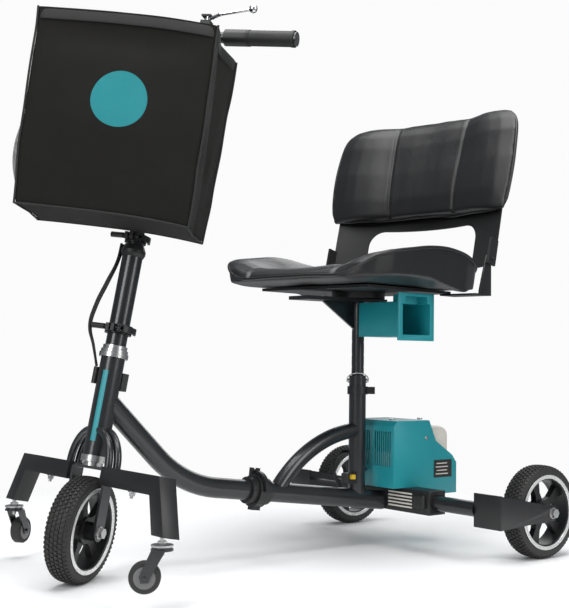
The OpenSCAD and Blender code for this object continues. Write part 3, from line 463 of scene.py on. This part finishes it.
def knob(name, radius, height, centre, where=Matrix.Identity(4), sides=32, bevel=0.0008):
    deselect()
    bpy.ops.mesh.primitive_cylinder_add(vertices=sides, radius=radius, depth=height)
    made = bpy.context.object
    made.name = name
    made.data.transform(where @ Matrix.Translation(Vector(centre)))
    modify(made, "BEVEL", width=bevel, segments=2, limit_method="ANGLE", angle_limit=math.radians(50))
    smooth(made, 35)
    return made

# %% [markdown]
# **Metal and moulded parts from CAD.** Their shapes are right, so most stay and only get
# a finish. Sharp box-like parts are the exception: real edges are rounded and catch a line
# of light, so each of these gets a copy with its doubles merged and its edges bevelled.
# %% Finishes for the frame's own parts
finish_of_slot = {
    "frame_paint": graphite, "arm_paint": satin_black, "steel": plated_steel, "alloy": polished_alloy,
    "tyre": tyre_rubber, "rim": satin_black, "teal": teal_plastic, "battery": white_plastic,
    "black_plastic": black_plastic, "grip": grip_rubber, "cable": cable_jacket, "bag": polyester,
    "vinyl": vinyl, "caster": tyre_rubber}
slot_of_node = {s["node"]: s["material_slot"] for s in frame["record"]["subparts"]}
for name, node in nodes.items():
    node.data.materials.clear()
    node.data.materials.append(finish_of_slot[slot_of_node[name]])

def crisp(name, width):
    source = nodes[name]
    mesh = source.data.copy()
    piece = bpy.data.objects.new(name + "_edged", mesh)
    bpy.context.scene.collection.objects.link(piece)
    deselect()
    bpy.context.view_layer.objects.active = piece
    piece.select_set(True)
    bpy.ops.object.mode_set(mode="EDIT")
    bpy.ops.mesh.select_all(action="SELECT")
    bpy.ops.mesh.remove_doubles(threshold=0.00002)
    bpy.ops.mesh.dissolve_limited(angle_limit=math.radians(0.6))
    bpy.ops.object.mode_set(mode="OBJECT")
    if mesh.has_custom_normals:
        bpy.ops.mesh.customdata_custom_splitnormals_clear()
    modify(piece, "BEVEL", width=width, segments=2, limit_method="ANGLE",
           angle_limit=math.radians(40), use_clamp_overlap=True)
    smooth(piece, 35)
    return finished(piece, body_of_node[name], slot_of_node[name], finish_of_slot[slot_of_node[name]], name)

edge_widths = (("outriggers", 0.0025), ("cross_box", 0.0015), ("wheel_brackets", 0.0009),
               ("pack_battery", 0.004), ("pack_shell", 0.003), ("holder", 0.0016), ("hinge_plates", 0.0007))
for name, width in edge_widths:
    crisp(name, width)
print("finishes on", len(nodes), "nodes")

# %% [markdown]
# **Tyres.** A travel scooter's tyre has a smooth carcass with rows of small square lugs.
# The carcass starts as a circle, which edit mode spins about the axle. Six lugs, one for
# each row, are modelled and copied round the tyre together. The shoulder lugs are longer.
# %% Tyres and bright rim rings
def wheel_axes(joint):
    axle = Vector(joint["axis"]).normalized()
    out = axle.cross(Vector((0, 0, 1))).normalized()
    turn = Matrix((out, axle.cross(out), axle)).transposed().to_4x4()
    return Matrix.Translation(Vector(joint["pos_m"])) @ turn

def spun(name, ring, steps=96):
    deselect()
    bpy.ops.mesh.primitive_circle_add(vertices=len(ring), radius=0.01)
    made = bpy.context.object
    made.name = name
    for vertex, (r, z) in zip(made.data.vertices, ring):
        vertex.co = (r, 0, z)
    bpy.ops.object.mode_set(mode="EDIT")
    bpy.ops.mesh.select_all(action="SELECT")
    bpy.ops.mesh.spin(steps=steps, angle=2 * math.pi, center=(0, 0, 0), axis=(0, 0, 1))
    bpy.ops.mesh.select_all(action="SELECT")
    bpy.ops.mesh.remove_doubles(threshold=0.00001)
    bpy.ops.mesh.normals_make_consistent(inside=False)
    bpy.ops.object.mode_set(mode="OBJECT")
    smooth(made, 35)
    return made

half_outline = [(0.074, 0.021), (0.0798, 0.0216), (0.081, 0.0236), (0.0845, 0.0246), (0.090, 0.0242),
                (0.0945, 0.0222), (0.0960, 0.0182), (0.0970, 0.012), (0.0974, 0.0045)]
carcass = [(r, -z) for r, z in half_outline] + half_outline[::-1]
bright = [(0.0722, 0.0216), (0.0802, 0.0238), (0.0806, 0.0246), (0.0796, 0.0256), (0.0728, 0.0248),
          (0.0716, 0.0232)]

def lug(size, place, lean, angle):
    deselect()
    bpy.ops.mesh.primitive_cube_add(size=1)
    made = bpy.context.object
    made.data.transform(Matrix.Rotation(angle, 4, "Z") @ Matrix.Translation(place)
                        @ Matrix.Rotation(lean, 4, "Y") @ Matrix.Diagonal((*size, 1)))
    return made

def tread(name):
    rows = [((0.005, 0.0058, 0.0060), (0.0977, 0, 0.0042), 0.0, 0.0),
            ((0.005, 0.0058, 0.0062), (0.0971, 0, 0.0125), 0.12, 0.5),
            ((0.005, 0.0048, 0.0072), (0.0945, 0, 0.0200), 0.75, 0.0)]
    count = 66
    base = []
    for size, place, lean, shift in rows:
        for side in (-1, 1):
            spot = Vector((place[0], 0, side * place[2]))
            steps = shift + (0.5 if side < 0 else 0)
            base.append(lug(size, spot, -side * lean, steps * 2 * math.pi / count))
    strip = joined(name, base)
    modify(strip, "BEVEL", width=0.0006, segments=1, limit_method="ANGLE")
    source = bmesh.new()
    source.from_mesh(strip.data)
    full = bmesh.new()
    for k in range(count):
        turned = source.copy()
        turn = Matrix.Rotation(2 * math.pi * k / count, 3, "Z")
        bmesh.ops.rotate(turned, verts=turned.verts, cent=(0, 0, 0), matrix=turn)
        part = bpy.data.meshes.new("part")
        turned.to_mesh(part)
        full.from_mesh(part)
        bpy.data.meshes.remove(part)
        turned.free()
    full.to_mesh(strip.data)
    source.free()
    full.free()
    return strip

def copied(piece, name):
    made = piece.copy()
    made.data = piece.data.copy()
    made.name = name
    bpy.context.scene.collection.objects.link(made)
    return made

carcass_piece = spun("carcass", carcass)
lugs_piece = tread("lugs")
ring_piece = spun("ring", bright)
opposite = copied(ring_piece, "ring_other")
opposite.data.transform(Matrix.Rotation(math.pi, 4, "X"))
ring_piece = joined("ring", [ring_piece, opposite])
for word in ("front", "rear_left", "rear_right"):
    place = wheel_axes(joints[word + "_wheel_spin"])
    parts = ((carcass_piece, "carcass", "tyre", tyre_rubber, (word + "_tyre",)),
             (lugs_piece, "lugs", "tyre", tyre_rubber, ()),
             (ring_piece, "bright_ring", "rim", machined_ring, ()))
    for source, part, slot, material, stands in parts:
        piece = copied(source, word + "_" + part)
        piece.data.transform(place)
        finished(piece, word + "_wheel", slot, material, *stands)
for source in (carcass_piece, lugs_piece, ring_piece):
    bpy.data.objects.remove(source)
print("three treaded tyres")

# %% [markdown]
# **The bag** is a lined polyester sack on a stiff rim. It starts as a cube, finely divided,
# without its top. Its walls are then bellied, creased down the gussets and let droop at the
# corners, clear of the lever below, and the cloth gets thickness. Its map is in metres, for
# the weave and the print.
# %% Bag shell
bag_size = bag_high - bag_low
deselect()
bpy.ops.mesh.primitive_cube_add(size=1)
bag = bpy.context.object
bag.name = "bag_shell"
bpy.ops.object.mode_set(mode="EDIT")
bpy.ops.mesh.subdivide(number_cuts=23)
bpy.ops.object.mode_set(mode="OBJECT")
mesh = bag.data
bpy.ops.object.mode_set(mode="EDIT")
bpy.ops.mesh.select_mode(type="FACE")
bpy.ops.mesh.select_all(action="DESELECT")
bpy.ops.object.mode_set(mode="OBJECT")
for polygon in mesh.polygons:
    polygon.select = polygon.normal.z > 0.9
bpy.ops.object.mode_set(mode="EDIT")
bpy.ops.mesh.delete(type="FACE")
bpy.ops.mesh.select_mode(type="VERT")
bpy.ops.object.mode_set(mode="OBJECT")

floor_depth, rim_depth = 0.120, 0.170
bag_middle = (bag_low.y + bag_high.y) / 2
flat = {v.index: v.co.copy() for v in mesh.vertices}
layer = mesh.uv_layers.new(name="cloth") if not mesh.uv_layers else mesh.uv_layers[0]

def bag_point(co):
    u, v, w = co.x + 0.5, co.y * 2, co.z + 0.5
    depth = floor_depth + (rim_depth - floor_depth) * w
    belly = math.sin(math.pi * min(1, w * 1.05)) * (1 - v ** 4)
    x, y, z = u * depth, v * bag_size.y / 2, bag_low.z + w * bag_size.z
    y *= 1 - 0.012 * math.exp(-(w / 0.10) ** 2)
    tuck = 0.006 * math.exp(-((w - 0.86) / 0.07) ** 2) * (1 - v * v)
    x += (0.009 * belly - tuck) * max(0, u * 2 - 1)
    crease = (1 - abs(2 * u - 1)) ** 1.4
    y -= math.copysign(0.016 * crease * (0.35 + 0.65 * w) * abs(v) ** 8, v)
    z -= 0.0005 + (0.009 if v > 0 else 0.003) * v * v
    y -= (0.011 * w + 0.003) * (1 - v) / 2 - 0.003 * (1 + v) / 2
    soft = noise.noise(Vector((x * 9, y * 8, z * 6))) * 0.0042
    soft += noise.noise(Vector((x * 26 + 4, y * 22, z * 13))) * 0.0022
    soft *= 0.35 + 0.65 * math.sin(math.pi * min(1, w * 1.02))
    return Vector((bag_low.x + x + soft * (1 if u > 0.9 else 0.2), bag_middle + y + soft * v * 1.6, z))

for v in mesh.vertices:
    v.co = bag_point(flat[v.index])
for polygon in mesh.polygons:
    rest = sum((flat[i] for i in polygon.vertices), Vector()) / len(polygon.vertices)
    ends = "front" if rest.x > 0.499 else "back" if rest.x < -0.499 else None
    face = ends or ("side" if abs(rest.y) > 0.499 else "floor")
    for loop in polygon.loop_indices:
        co = flat[mesh.loops[loop].vertex_index]
        y, z, x = co.y * bag_size.y, (co.z + 0.5) * bag_size.z, co.x * rim_depth
        maps = {"front": (y, z), "back": (y + 2, z), "side": (x + 4, z), "floor": (y + 6, x)}
        layer.data[loop].uv = maps[face]
modify(bag, "SUBSURF", levels=2, render_levels=2)
modify(bag, "SOLIDIFY", thickness=0.0028, offset=-1)
bag.data.transform(bag_axes)
smooth(bag, 60)
finished(bag, "column", "bag", polyester, "bag")
print("bag shell,", len(bag.data.polygons), "faces")

# %% [markdown]
# Every edge of the sack is bound with a rolled tape, the rim has a flat webbing band, two
# loops hang it from the handlebar, and one side carries a net pocket with an elastic top.
# %% Bag trim
def on_bag(u, v, w, out=0.0):
    centre = Vector((0.07, bag_middle, bag_low.z + 0.18))
    point = bag_point(Vector((u - 0.5, v / 2, w - 0.5)))
    return bag_axes @ (point + (point - centre).normalized() * out)

edges = []
for side in (-1, 1):
    for u in (1, 0):
        edges.append(tube("edge", [on_bag(u, side * 0.997, w / 10, 0.0008) for w in range(11)], 0.0021))
    edges.append(tube("edge", [on_bag(u / 6, side * 0.99, 0.003, 0.0008) for u in range(7)], 0.0020))
for u in (0.995, 0.005):
    edges.append(tube("edge", [on_bag(u, v / 6, 0.003, 0.0006) for v in range(-6, 7)], 0.0020))
finished(joined("bag_piping", edges), "column", "bag", binding)

around = ([(1, v / 8) for v in range(-8, 9)] + [(1 - u / 6, 1) for u in range(1, 7)]
          + [(0, -v / 8) for v in range(-7, 9)] + [(u / 6, -1) for u in range(1, 6)])
rim_path = [on_bag(u, v, 0.966, 0.001) for u, v in around]
band_up = (bag_axes.to_3x3() @ Vector((0, 0, 1))).normalized()
deselect()
bpy.ops.mesh.primitive_circle_add(vertices=len(rim_path), radius=0.1)
band = bpy.context.object
for v, point in zip(band.data.vertices, rim_path):
    v.co = point - band_up * 0.012
bpy.ops.object.mode_set(mode="EDIT")
bpy.ops.mesh.select_all(action="SELECT")
bpy.ops.mesh.extrude_region_move(TRANSFORM_OT_translate={"value": band_up * 0.024})
bpy.ops.object.mode_set(mode="OBJECT")
modify(band, "SOLIDIFY", thickness=0.0032, offset=0)
modify(band, "SUBSURF", levels=2, render_levels=2)
smooth(band, 50)
band.name = "bag_rim_band"
finished(band, "column", "bag", binding)

bar = local_box("handlebar", fork_axes)
bar_up = (bar[0].z + bar[1].z) / 2
loops = []
bag_reach = 0.167
for y in (-0.13, 0.08):
    mid = fork_axes.inverted() @ on_bag(0.02, (y - bag_middle) / bag_reach, 0.97)
    ring = [(mid.x + 0.004, bar_up - 0.055), (mid.x - 0.004, bar_up - 0.03), (0.0165, bar_up),
            (0.008, bar_up + 0.0145), (-0.008, bar_up + 0.0145), (-0.0165, bar_up), (-0.006, bar_up - 0.018),
            (mid.x - 0.010, bar_up - 0.035), (mid.x - 0.004, bar_up - 0.056)]
    for shift in (-0.008, -0.004, 0.0, 0.004, 0.008):
        loops.append(tube("loop", [fork_axes @ Vector((x, mid.y + shift, z)) for x, z in ring], 0.0022))
finished(joined("bag_hanging_loops", loops), "column", "bag", binding)

deselect()
bpy.ops.mesh.primitive_grid_add(x_subdivisions=14, y_subdivisions=14, size=1)
net_piece = bpy.context.object
net_piece.name = "bag_side_pocket"
uv_net = net_piece.data.uv_layers[0]
for loop in net_piece.data.loops:
    co = net_piece.data.vertices[loop.vertex_index].co
    uv_net.data[loop.index].uv = (co.x * 0.13, co.y * 0.17)
for v in net_piece.data.vertices:
    a, b = v.co.x + 0.5, v.co.y + 0.5
    swell = 0.032 * math.sin(math.pi * a ** 1.6) ** 0.7 * math.sin(math.pi * (0.12 + 0.8 * b))
    v.co = on_bag(0.06 + 0.88 * a, -1, 0.10 + 0.40 * b) + bag_axes.to_3x3() @ Vector((0, -0.002 - swell, 0))
modify(net_piece, "SUBSURF", levels=1, render_levels=1)
smooth(net_piece, 60)
finished(net_piece, "column", "bag", netting)
bag_turned = bag_axes.to_3x3()
pulls = [Vector((0, -0.003 - 0.013 * math.sin(math.pi * k / 10), 0)) for k in range(11)]
elastic = [on_bag(0.06 + 0.088 * k, -1, 0.50) + bag_turned @ pull for k, pull in enumerate(pulls)]
finished(tube("bag_pocket_elastic", elastic, 0.0034), "column", "bag", binding)
print("bag trim")

# %% [markdown]
# **Seat and backrest.** Both are foam under vinyl: crowned closed forms. Each starts from
# a copy of its CAD solid, remeshed into even squares and relaxed until no facet is left.
# The covers' panels are then puffed and drawn down along the seams, because the remesh
# would have erased a seam.
# %% Padded forms
def softened(name, node, voxel, rounds, where, shape):
    piece = copied(nodes[node], name)
    piece.data.materials.clear()
    deselect()
    piece.select_set(True)
    bpy.context.view_layer.objects.active = piece
    bpy.ops.object.mode_set(mode="EDIT")
    bpy.ops.mesh.select_all(action="SELECT")
    bpy.ops.mesh.remove_doubles(threshold=0.00002)
    bpy.ops.object.mode_set(mode="OBJECT")
    if piece.data.has_custom_normals:
        bpy.ops.mesh.customdata_custom_splitnormals_clear()
    modify(piece, "REMESH", mode="VOXEL", voxel_size=voxel)
    modify(piece, "SMOOTH", factor=0.6, iterations=rounds)
    back = where.inverted()
    piece.data.update()
    moved = []
    for v in piece.data.vertices:
        co, normal = back @ v.co, back.to_3x3() @ v.normal
        moved.append(where @ (co + normal.normalized() * shape(co, normal.normalized())))
    for v, co in zip(piece.data.vertices, moved):
        v.co = co
    modify(piece, "SMOOTH", factor=0.4, iterations=1)
    for polygon in piece.data.polygons:
        polygon.use_smooth = True
    return piece

def rim_line(piece, where, flat, middle, count, lift=0.0):
    back = where.inverted()
    best = {}
    for v in piece.data.vertices:
        co = back @ v.co
        a, b = co[flat[0]] - middle[0], co[flat[1]] - middle[1]
        sector = int((math.atan2(b, a) / (2 * math.pi) % 1) * count)
        reach = math.hypot(a, b)
        if sector not in best or reach > best[sector][0]:
            best[sector] = (reach, co)
    line = [best[k][1] for k in sorted(best)]
    for _ in range(3):
        line = [(line[k - 1] + 2 * line[k] + line[(k + 1) % len(line)]) / 4 for k in range(len(line))]
    centre = sum(line, Vector()) / len(line)
    return [where @ (p + (p - centre).normalized() * lift) for p in line]

stitch_size = (0.0040, 0.0011, 0.0012)

def stitches(name, piece, where, lines, along=0.0058):
    surface = []
    back = where.inverted()
    for line in lines:
        gone, due = 0.0, 0.0
        for a, b in zip(line, line[1:]):
            step = (b - a).length
            while due < gone + step:
                spot = a.lerp(b, (due - gone) / step)
                hit, place, normal, index = piece.closest_point_on_mesh(where @ spot)
                if hit:
                    surface.append((place, normal, (where.to_3x3() @ (b - a)).normalized()))
                due += along
            gone += step
    deselect()
    bpy.ops.mesh.primitive_uv_sphere_add(segments=6, ring_count=4, radius=0.5)
    seed = bpy.context.object
    shape = bmesh.new()
    shape.from_mesh(seed.data)
    full = bmesh.new()
    part = bpy.data.meshes.new("part")
    for place, normal, ahead in surface:
        side = ahead.cross(normal).normalized()
        turn = Matrix((ahead, side, ahead.cross(side))).transposed().to_4x4()
        one = shape.copy()
        laid = Matrix.Translation(place) @ turn @ Matrix.Diagonal((*stitch_size, 1))
        bmesh.ops.transform(one, matrix=laid, verts=one.verts)
        one.to_mesh(part)
        full.from_mesh(part)
        one.free()
    full.to_mesh(seed.data)
    shape.free()
    full.free()
    bpy.data.meshes.remove(part)
    seed.name = name
    return seed

def dropped(piece, where, lines, ray):
    landed = []
    for line in lines:
        fresh = []
        for p in line:
            hit, place, normal, index = piece.ray_cast(where @ p, (where.to_3x3() @ Vector(ray)).normalized())
            if hit:
                fresh.append(where.inverted() @ place)
        if len(fresh) > 1:
            landed.append(fresh)
    return landed

# %% [markdown]
# The seat's cover has two seams that run front to back and bow outwards. The backrest's
# two seams stand upright. `groove` gives how deep a seam pulls the vinyl at a distance.
# %% Seat and backrest covers
def groove(distance, depth, width):
    return -depth * math.exp(-(distance / width) ** 2)

def seat_seam(x):
    return 0.118 + 0.030 * math.cos((x - 0.02) * 7.0)

def seat_shape(co, normal):
    top = max(0.0, normal.z)
    away = abs(abs(co.y) - seat_seam(co.x))
    panel = 0.0045 * (1 - math.exp(-(away / 0.030) ** 2)) * top
    pull = groove(away, 0.0042, 0.0042) * (top > 0.35)
    fold = noise.noise(Vector((co.x * 14, co.y * 11, 2.0))) * 0.0016
    return panel + pull + fold * (0.4 + 0.6 * top) - 0.0025

def back_seam(z):
    return 0.098 + 0.010 * (z - 0.25) * 4

def back_shape(co, normal):
    front = max(0.0, normal.x)
    away = abs(abs(co.y) - back_seam(co.z))
    panel = 0.005 * (1 - math.exp(-(away / 0.034) ** 2)) * front
    pull = groove(away, 0.0045, 0.0042) * (front > 0.3)
    fold = noise.noise(Vector((co.y * 12, co.z * 12, 7.0))) * 0.0018
    return panel + pull + fold - 0.002

voxel = 0.0035
seat_cover = softened("seat_cushion", "seat_pad", voxel, 14, seat_axes, seat_shape)
back_cover = softened("backrest_cushion", "backrest_pad", voxel, 10, back_axes, back_shape)
for cover, body, node in ((seat_cover, "seat", "seat_pad"), (back_cover, "backrest", "backrest_pad")):
    finished(cover, body, "vinyl", vinyl, node)
print("cushions", len(seat_cover.data.polygons), len(back_cover.data.polygons), "faces")

# %% Piping and stitches
seat_rim = rim_line(seat_cover, seat_axes, (0, 1), (0.02, 0.0), 90, 0.001)
finished(tube("seat_piping", seat_rim, 0.0036, 8, True), "seat", "vinyl", vinyl)
back_low, back_high = local_box("backrest_pad", back_axes)
back_rim = rim_line(back_cover, back_axes, (1, 2), (0.0, (back_low.z + back_high.z) / 2), 90, 0.001)
finished(tube("backrest_piping", back_rim, 0.0036, 8, True), "backrest", "vinyl", vinyl)

seat_low, seat_high = local_box("seat_pad", seat_axes)
seam_gap = 0.0052
seam_sides = [(side, shift) for side in (-1, 1) for shift in (-seam_gap, seam_gap)]
seat_xs = [seat_low.x + 0.02 + k * 0.02 for k in range(21)]
seat_xs = [x for x in seat_xs if x < seat_high.x - 0.02]
seat_lines = []
for side, shift in seam_sides:
    seat_lines.append([Vector((x, side * (seat_seam(x) + shift), seat_high.z + 0.03)) for x in seat_xs])
seat_lines = dropped(seat_cover, seat_axes, seat_lines, (0, 0, -1))
finished(stitches("seat_stitching", seat_cover, seat_axes, seat_lines), "seat", "vinyl", stitch_thread)
back_zs = [back_low.z + k * 0.0125 for k in range(1, 22)]
back_zs = [z for z in back_zs if z < back_high.z - 0.006]
back_lines = []
for side, shift in seam_sides:
    back_lines.append([Vector((0.2, side * (back_seam(z) + shift), z)) for z in back_zs])
back_lines = dropped(back_cover, back_axes, back_lines, (-1, 0, 0))
back_stitching = stitches("backrest_stitching", back_cover, back_axes, back_lines)
finished(back_stitching, "backrest", "vinyl", stitch_thread)
print("seams", len(seat_lines) + len(back_lines))

# %% [markdown]
# **Cables and wiring.** Two control cables leave the collar and loop down to the sheath on
# the head tube. They are drawn as smooth curves along the same route as their CAD tubes.
# %% Cables
def along_fork(points):
    return [fork_axes @ (Vector(p) / 1000) for p in points]
cables = [tube("cable", along_fork(route), 0.0025, 8) for route in (
    [(-4, -26.9, 552), (1, -27.3, 520), (14, -34, 470), (20, -46, 420), (20, -50, 380),
     (12, -40, 345), (4, -30, 307)],
    [(4, -26.9, 552), (11, -25.6, 515), (26, -32, 468), (34, -42, 420), (33, -46, 380),
     (20, -37, 345), (9.5, -26.5, 307)])]
finished(joined("control_cable_pair", cables), "steering", "cable", cable_jacket, "control_cables")

seat_x, front_x = -0.229, 0.457
pack_front = -0.275
loop = [(seat_x + 0.034, -0.0168, 0.1336), (seat_x + 0.044, -0.028, 0.168),
        (seat_x + 0.032, -0.034, 0.202), (seat_x + 0.004, -0.033, 0.214), (seat_x - 0.022, -0.029, 0.198),
        (seat_x - 0.036, -0.024, 0.178), (pack_front + 0.0014, -0.020, 0.170)]
lead = [(front_x - 0.062, -0.022, 0.356), (front_x - 0.084, -0.023, 0.327),
        (front_x - 0.105, -0.0206, 0.305), (front_x - 0.129, -0.013, 0.285), (front_x - 0.151, -0.005, 0.267)]
wires = [tube("wire", loop, 0.002, 8), tube("wire", lead, 0.002, 8)]
for shift in (0.004, 0.008):
    beside = [(x + shift * 0.4, y + shift, z + shift * 0.6) for x, y, z in loop]
    wires.append(tube("wire", beside, 0.0014, 6))
finished(joined("wire_bundle", wires), "frame", "cable", cable_jacket, "wiring")
plug = block("wire_plug", (0.030, 0.020, 0.024), (seat_x + 0.034, 0.012, 0.160), 0.002)
finished(plug, "frame", "black_plastic", black_plastic)
latch = block("wire_plug_latch", (0.012, 0.008, 0.010), (seat_x + 0.034, 0.0245, 0.164), 0.001)
finished(latch, "frame", "black_plastic", yellow_plastic)

# %% [markdown]
# **Small trim.** A rating plate with plain bars for print, round screws and a rounded cap
# on the pack, a plate and latch on the cross box, a stripe on the head tube and hubs in
# the casters finish the picture.
# %% Small trim
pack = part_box("pack_shell")
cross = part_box("cross_box")
label_y, latch_y = cross[1].y - 0.090, cross[1].y - 0.0275
plate = block("pack_plate", (0.058, 0.0012, 0.040),
              (pack[0].x + 0.046, pack[1].y + 0.0005, pack[0].z + 0.058), 0.0005)
finished(plate, "frame", "black_plastic", black_plastic)
for k in range(4):
    bar_place = (pack[0].x + 0.050, pack[1].y + 0.0013, pack[0].z + 0.046 + 0.008 * k)
    plate_bar = block("pack_plate_bar_%d" % k, (0.040 - 0.006 * (k % 2), 0.0006, 0.0022), bar_place, 0.0002)
    finished(plate_bar, "frame", "battery", white_plastic)
side_spot = Matrix.Translation((pack[0].x + 0.10, pack[1].y, pack[1].z - 0.040))
screws = [knob("screw", 0.0042, 0.003, (0, 0, 0), side_spot @ Matrix.Rotation(math.pi / 2, 4, "X"))]
for x in (0.07, 0.16):
    screws.append(knob("screw", 0.006, 0.004, (pack[0].x + x, 0.02, pack[1].z + 0.001)))
finished(joined("pack_screws", screws), "frame", "steel", plated_steel)
box_middle = (cross[0].z + cross[1].z) / 2
label = block("cross_plate", (0.0012, 0.088, 0.040), (cross[1].x + 0.0005, label_y, box_middle), 0.0004)
finished(label, "frame", "black_plastic", black_plastic)
bars = []
for k in range(5):
    bar_place = (cross[1].x + 0.0014, label_y, cross[0].z + 0.012 + 0.0075 * k)
    bars.append(block("bar", (0.0006, 0.076, 0.0035), bar_place, 0.0002))
finished(joined("cross_plate_bars", bars), "frame", "battery", white_plastic)
cap = block("battery_cap", (0.105, 0.150, 0.080), (pack[0].x + 0.062, -0.012, pack[1].z - 0.056), 0.022,
            segments=5)
finished(cap, "frame", "battery", white_plastic)
smooth(cap, 40)
latch_place = (cross[1].x + 0.004, latch_y, box_middle + 0.002)
cross_latch = block("cross_latch", (0.010, 0.036, 0.030), latch_place, 0.003)
finished(cross_latch, "frame", "black_plastic", black_plastic)

head_axes = axes(steer["pos_m"], steer["axis"], (0, 1, 0))
head_low, head_high = local_box("head_tube", head_axes)
head_r = (head_high.x - head_low.x) / 2
deselect()
bpy.ops.mesh.primitive_grid_add(x_subdivisions=24, y_subdivisions=40, size=1)
stripe = bpy.context.object
stripe.name = "head_tube_stripe"
for v in stripe.data.vertices:
    turn = math.radians(38 + v.co.x * 26)
    skin_r, head_middle = head_r + 0.0004, (head_low.z + head_high.z) / 2
    v.co = (math.cos(turn) * skin_r, math.sin(turn) * skin_r, head_middle + v.co.y * 0.135)
stripe.data.transform(head_axes)
modify(stripe, "SOLIDIFY", thickness=0.0003, offset=0)
smooth(stripe, 40)
finished(stripe, "frame", "teal", teal_plastic)

for side in ("left", "right"):
    name = "caster_%s_wheel" % side
    place = wheel_axes(joints["caster_%s_spin" % side])
    wheel_low, wheel_high = local_box(name, place)
    size, wide = wheel_high.x, wheel_high.z
    hub = [knob("hub", size * 0.70, wide * 2 + 0.0006, (0, 0, 0), place, 40, 0.0012),
           knob("cap", size * 0.26, wide * 2 + 0.0022, (0, 0, 0), place, 28, 0.001)]
    finished(joined("caster_%s_hub" % side, hub), name, "battery", hub_plastic)
print("trim done")

# %% [markdown]
# The last cell smooths the shading of the CAD parts that still show, and prints how far
# the scene's box grows past the CAD box.
# %% Sizes and finish
for name, node in nodes.items():
    if not node.hide_render:
        deselect()
        node.select_set(True)
        bpy.context.view_layer.objects.active = node
        if not node.data.has_custom_normals:
            bpy.ops.object.shade_smooth_by_angle(angle=math.radians(30))
deselect()
new_low, new_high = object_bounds()
over = [round((b - a) * 1000, 1) for a, b in zip(cad_box[1], new_high)]
under = [round((a - b) * 1000, 1) for a, b in zip(cad_box[0], new_low)]
print("grows by", over, under, "mm")
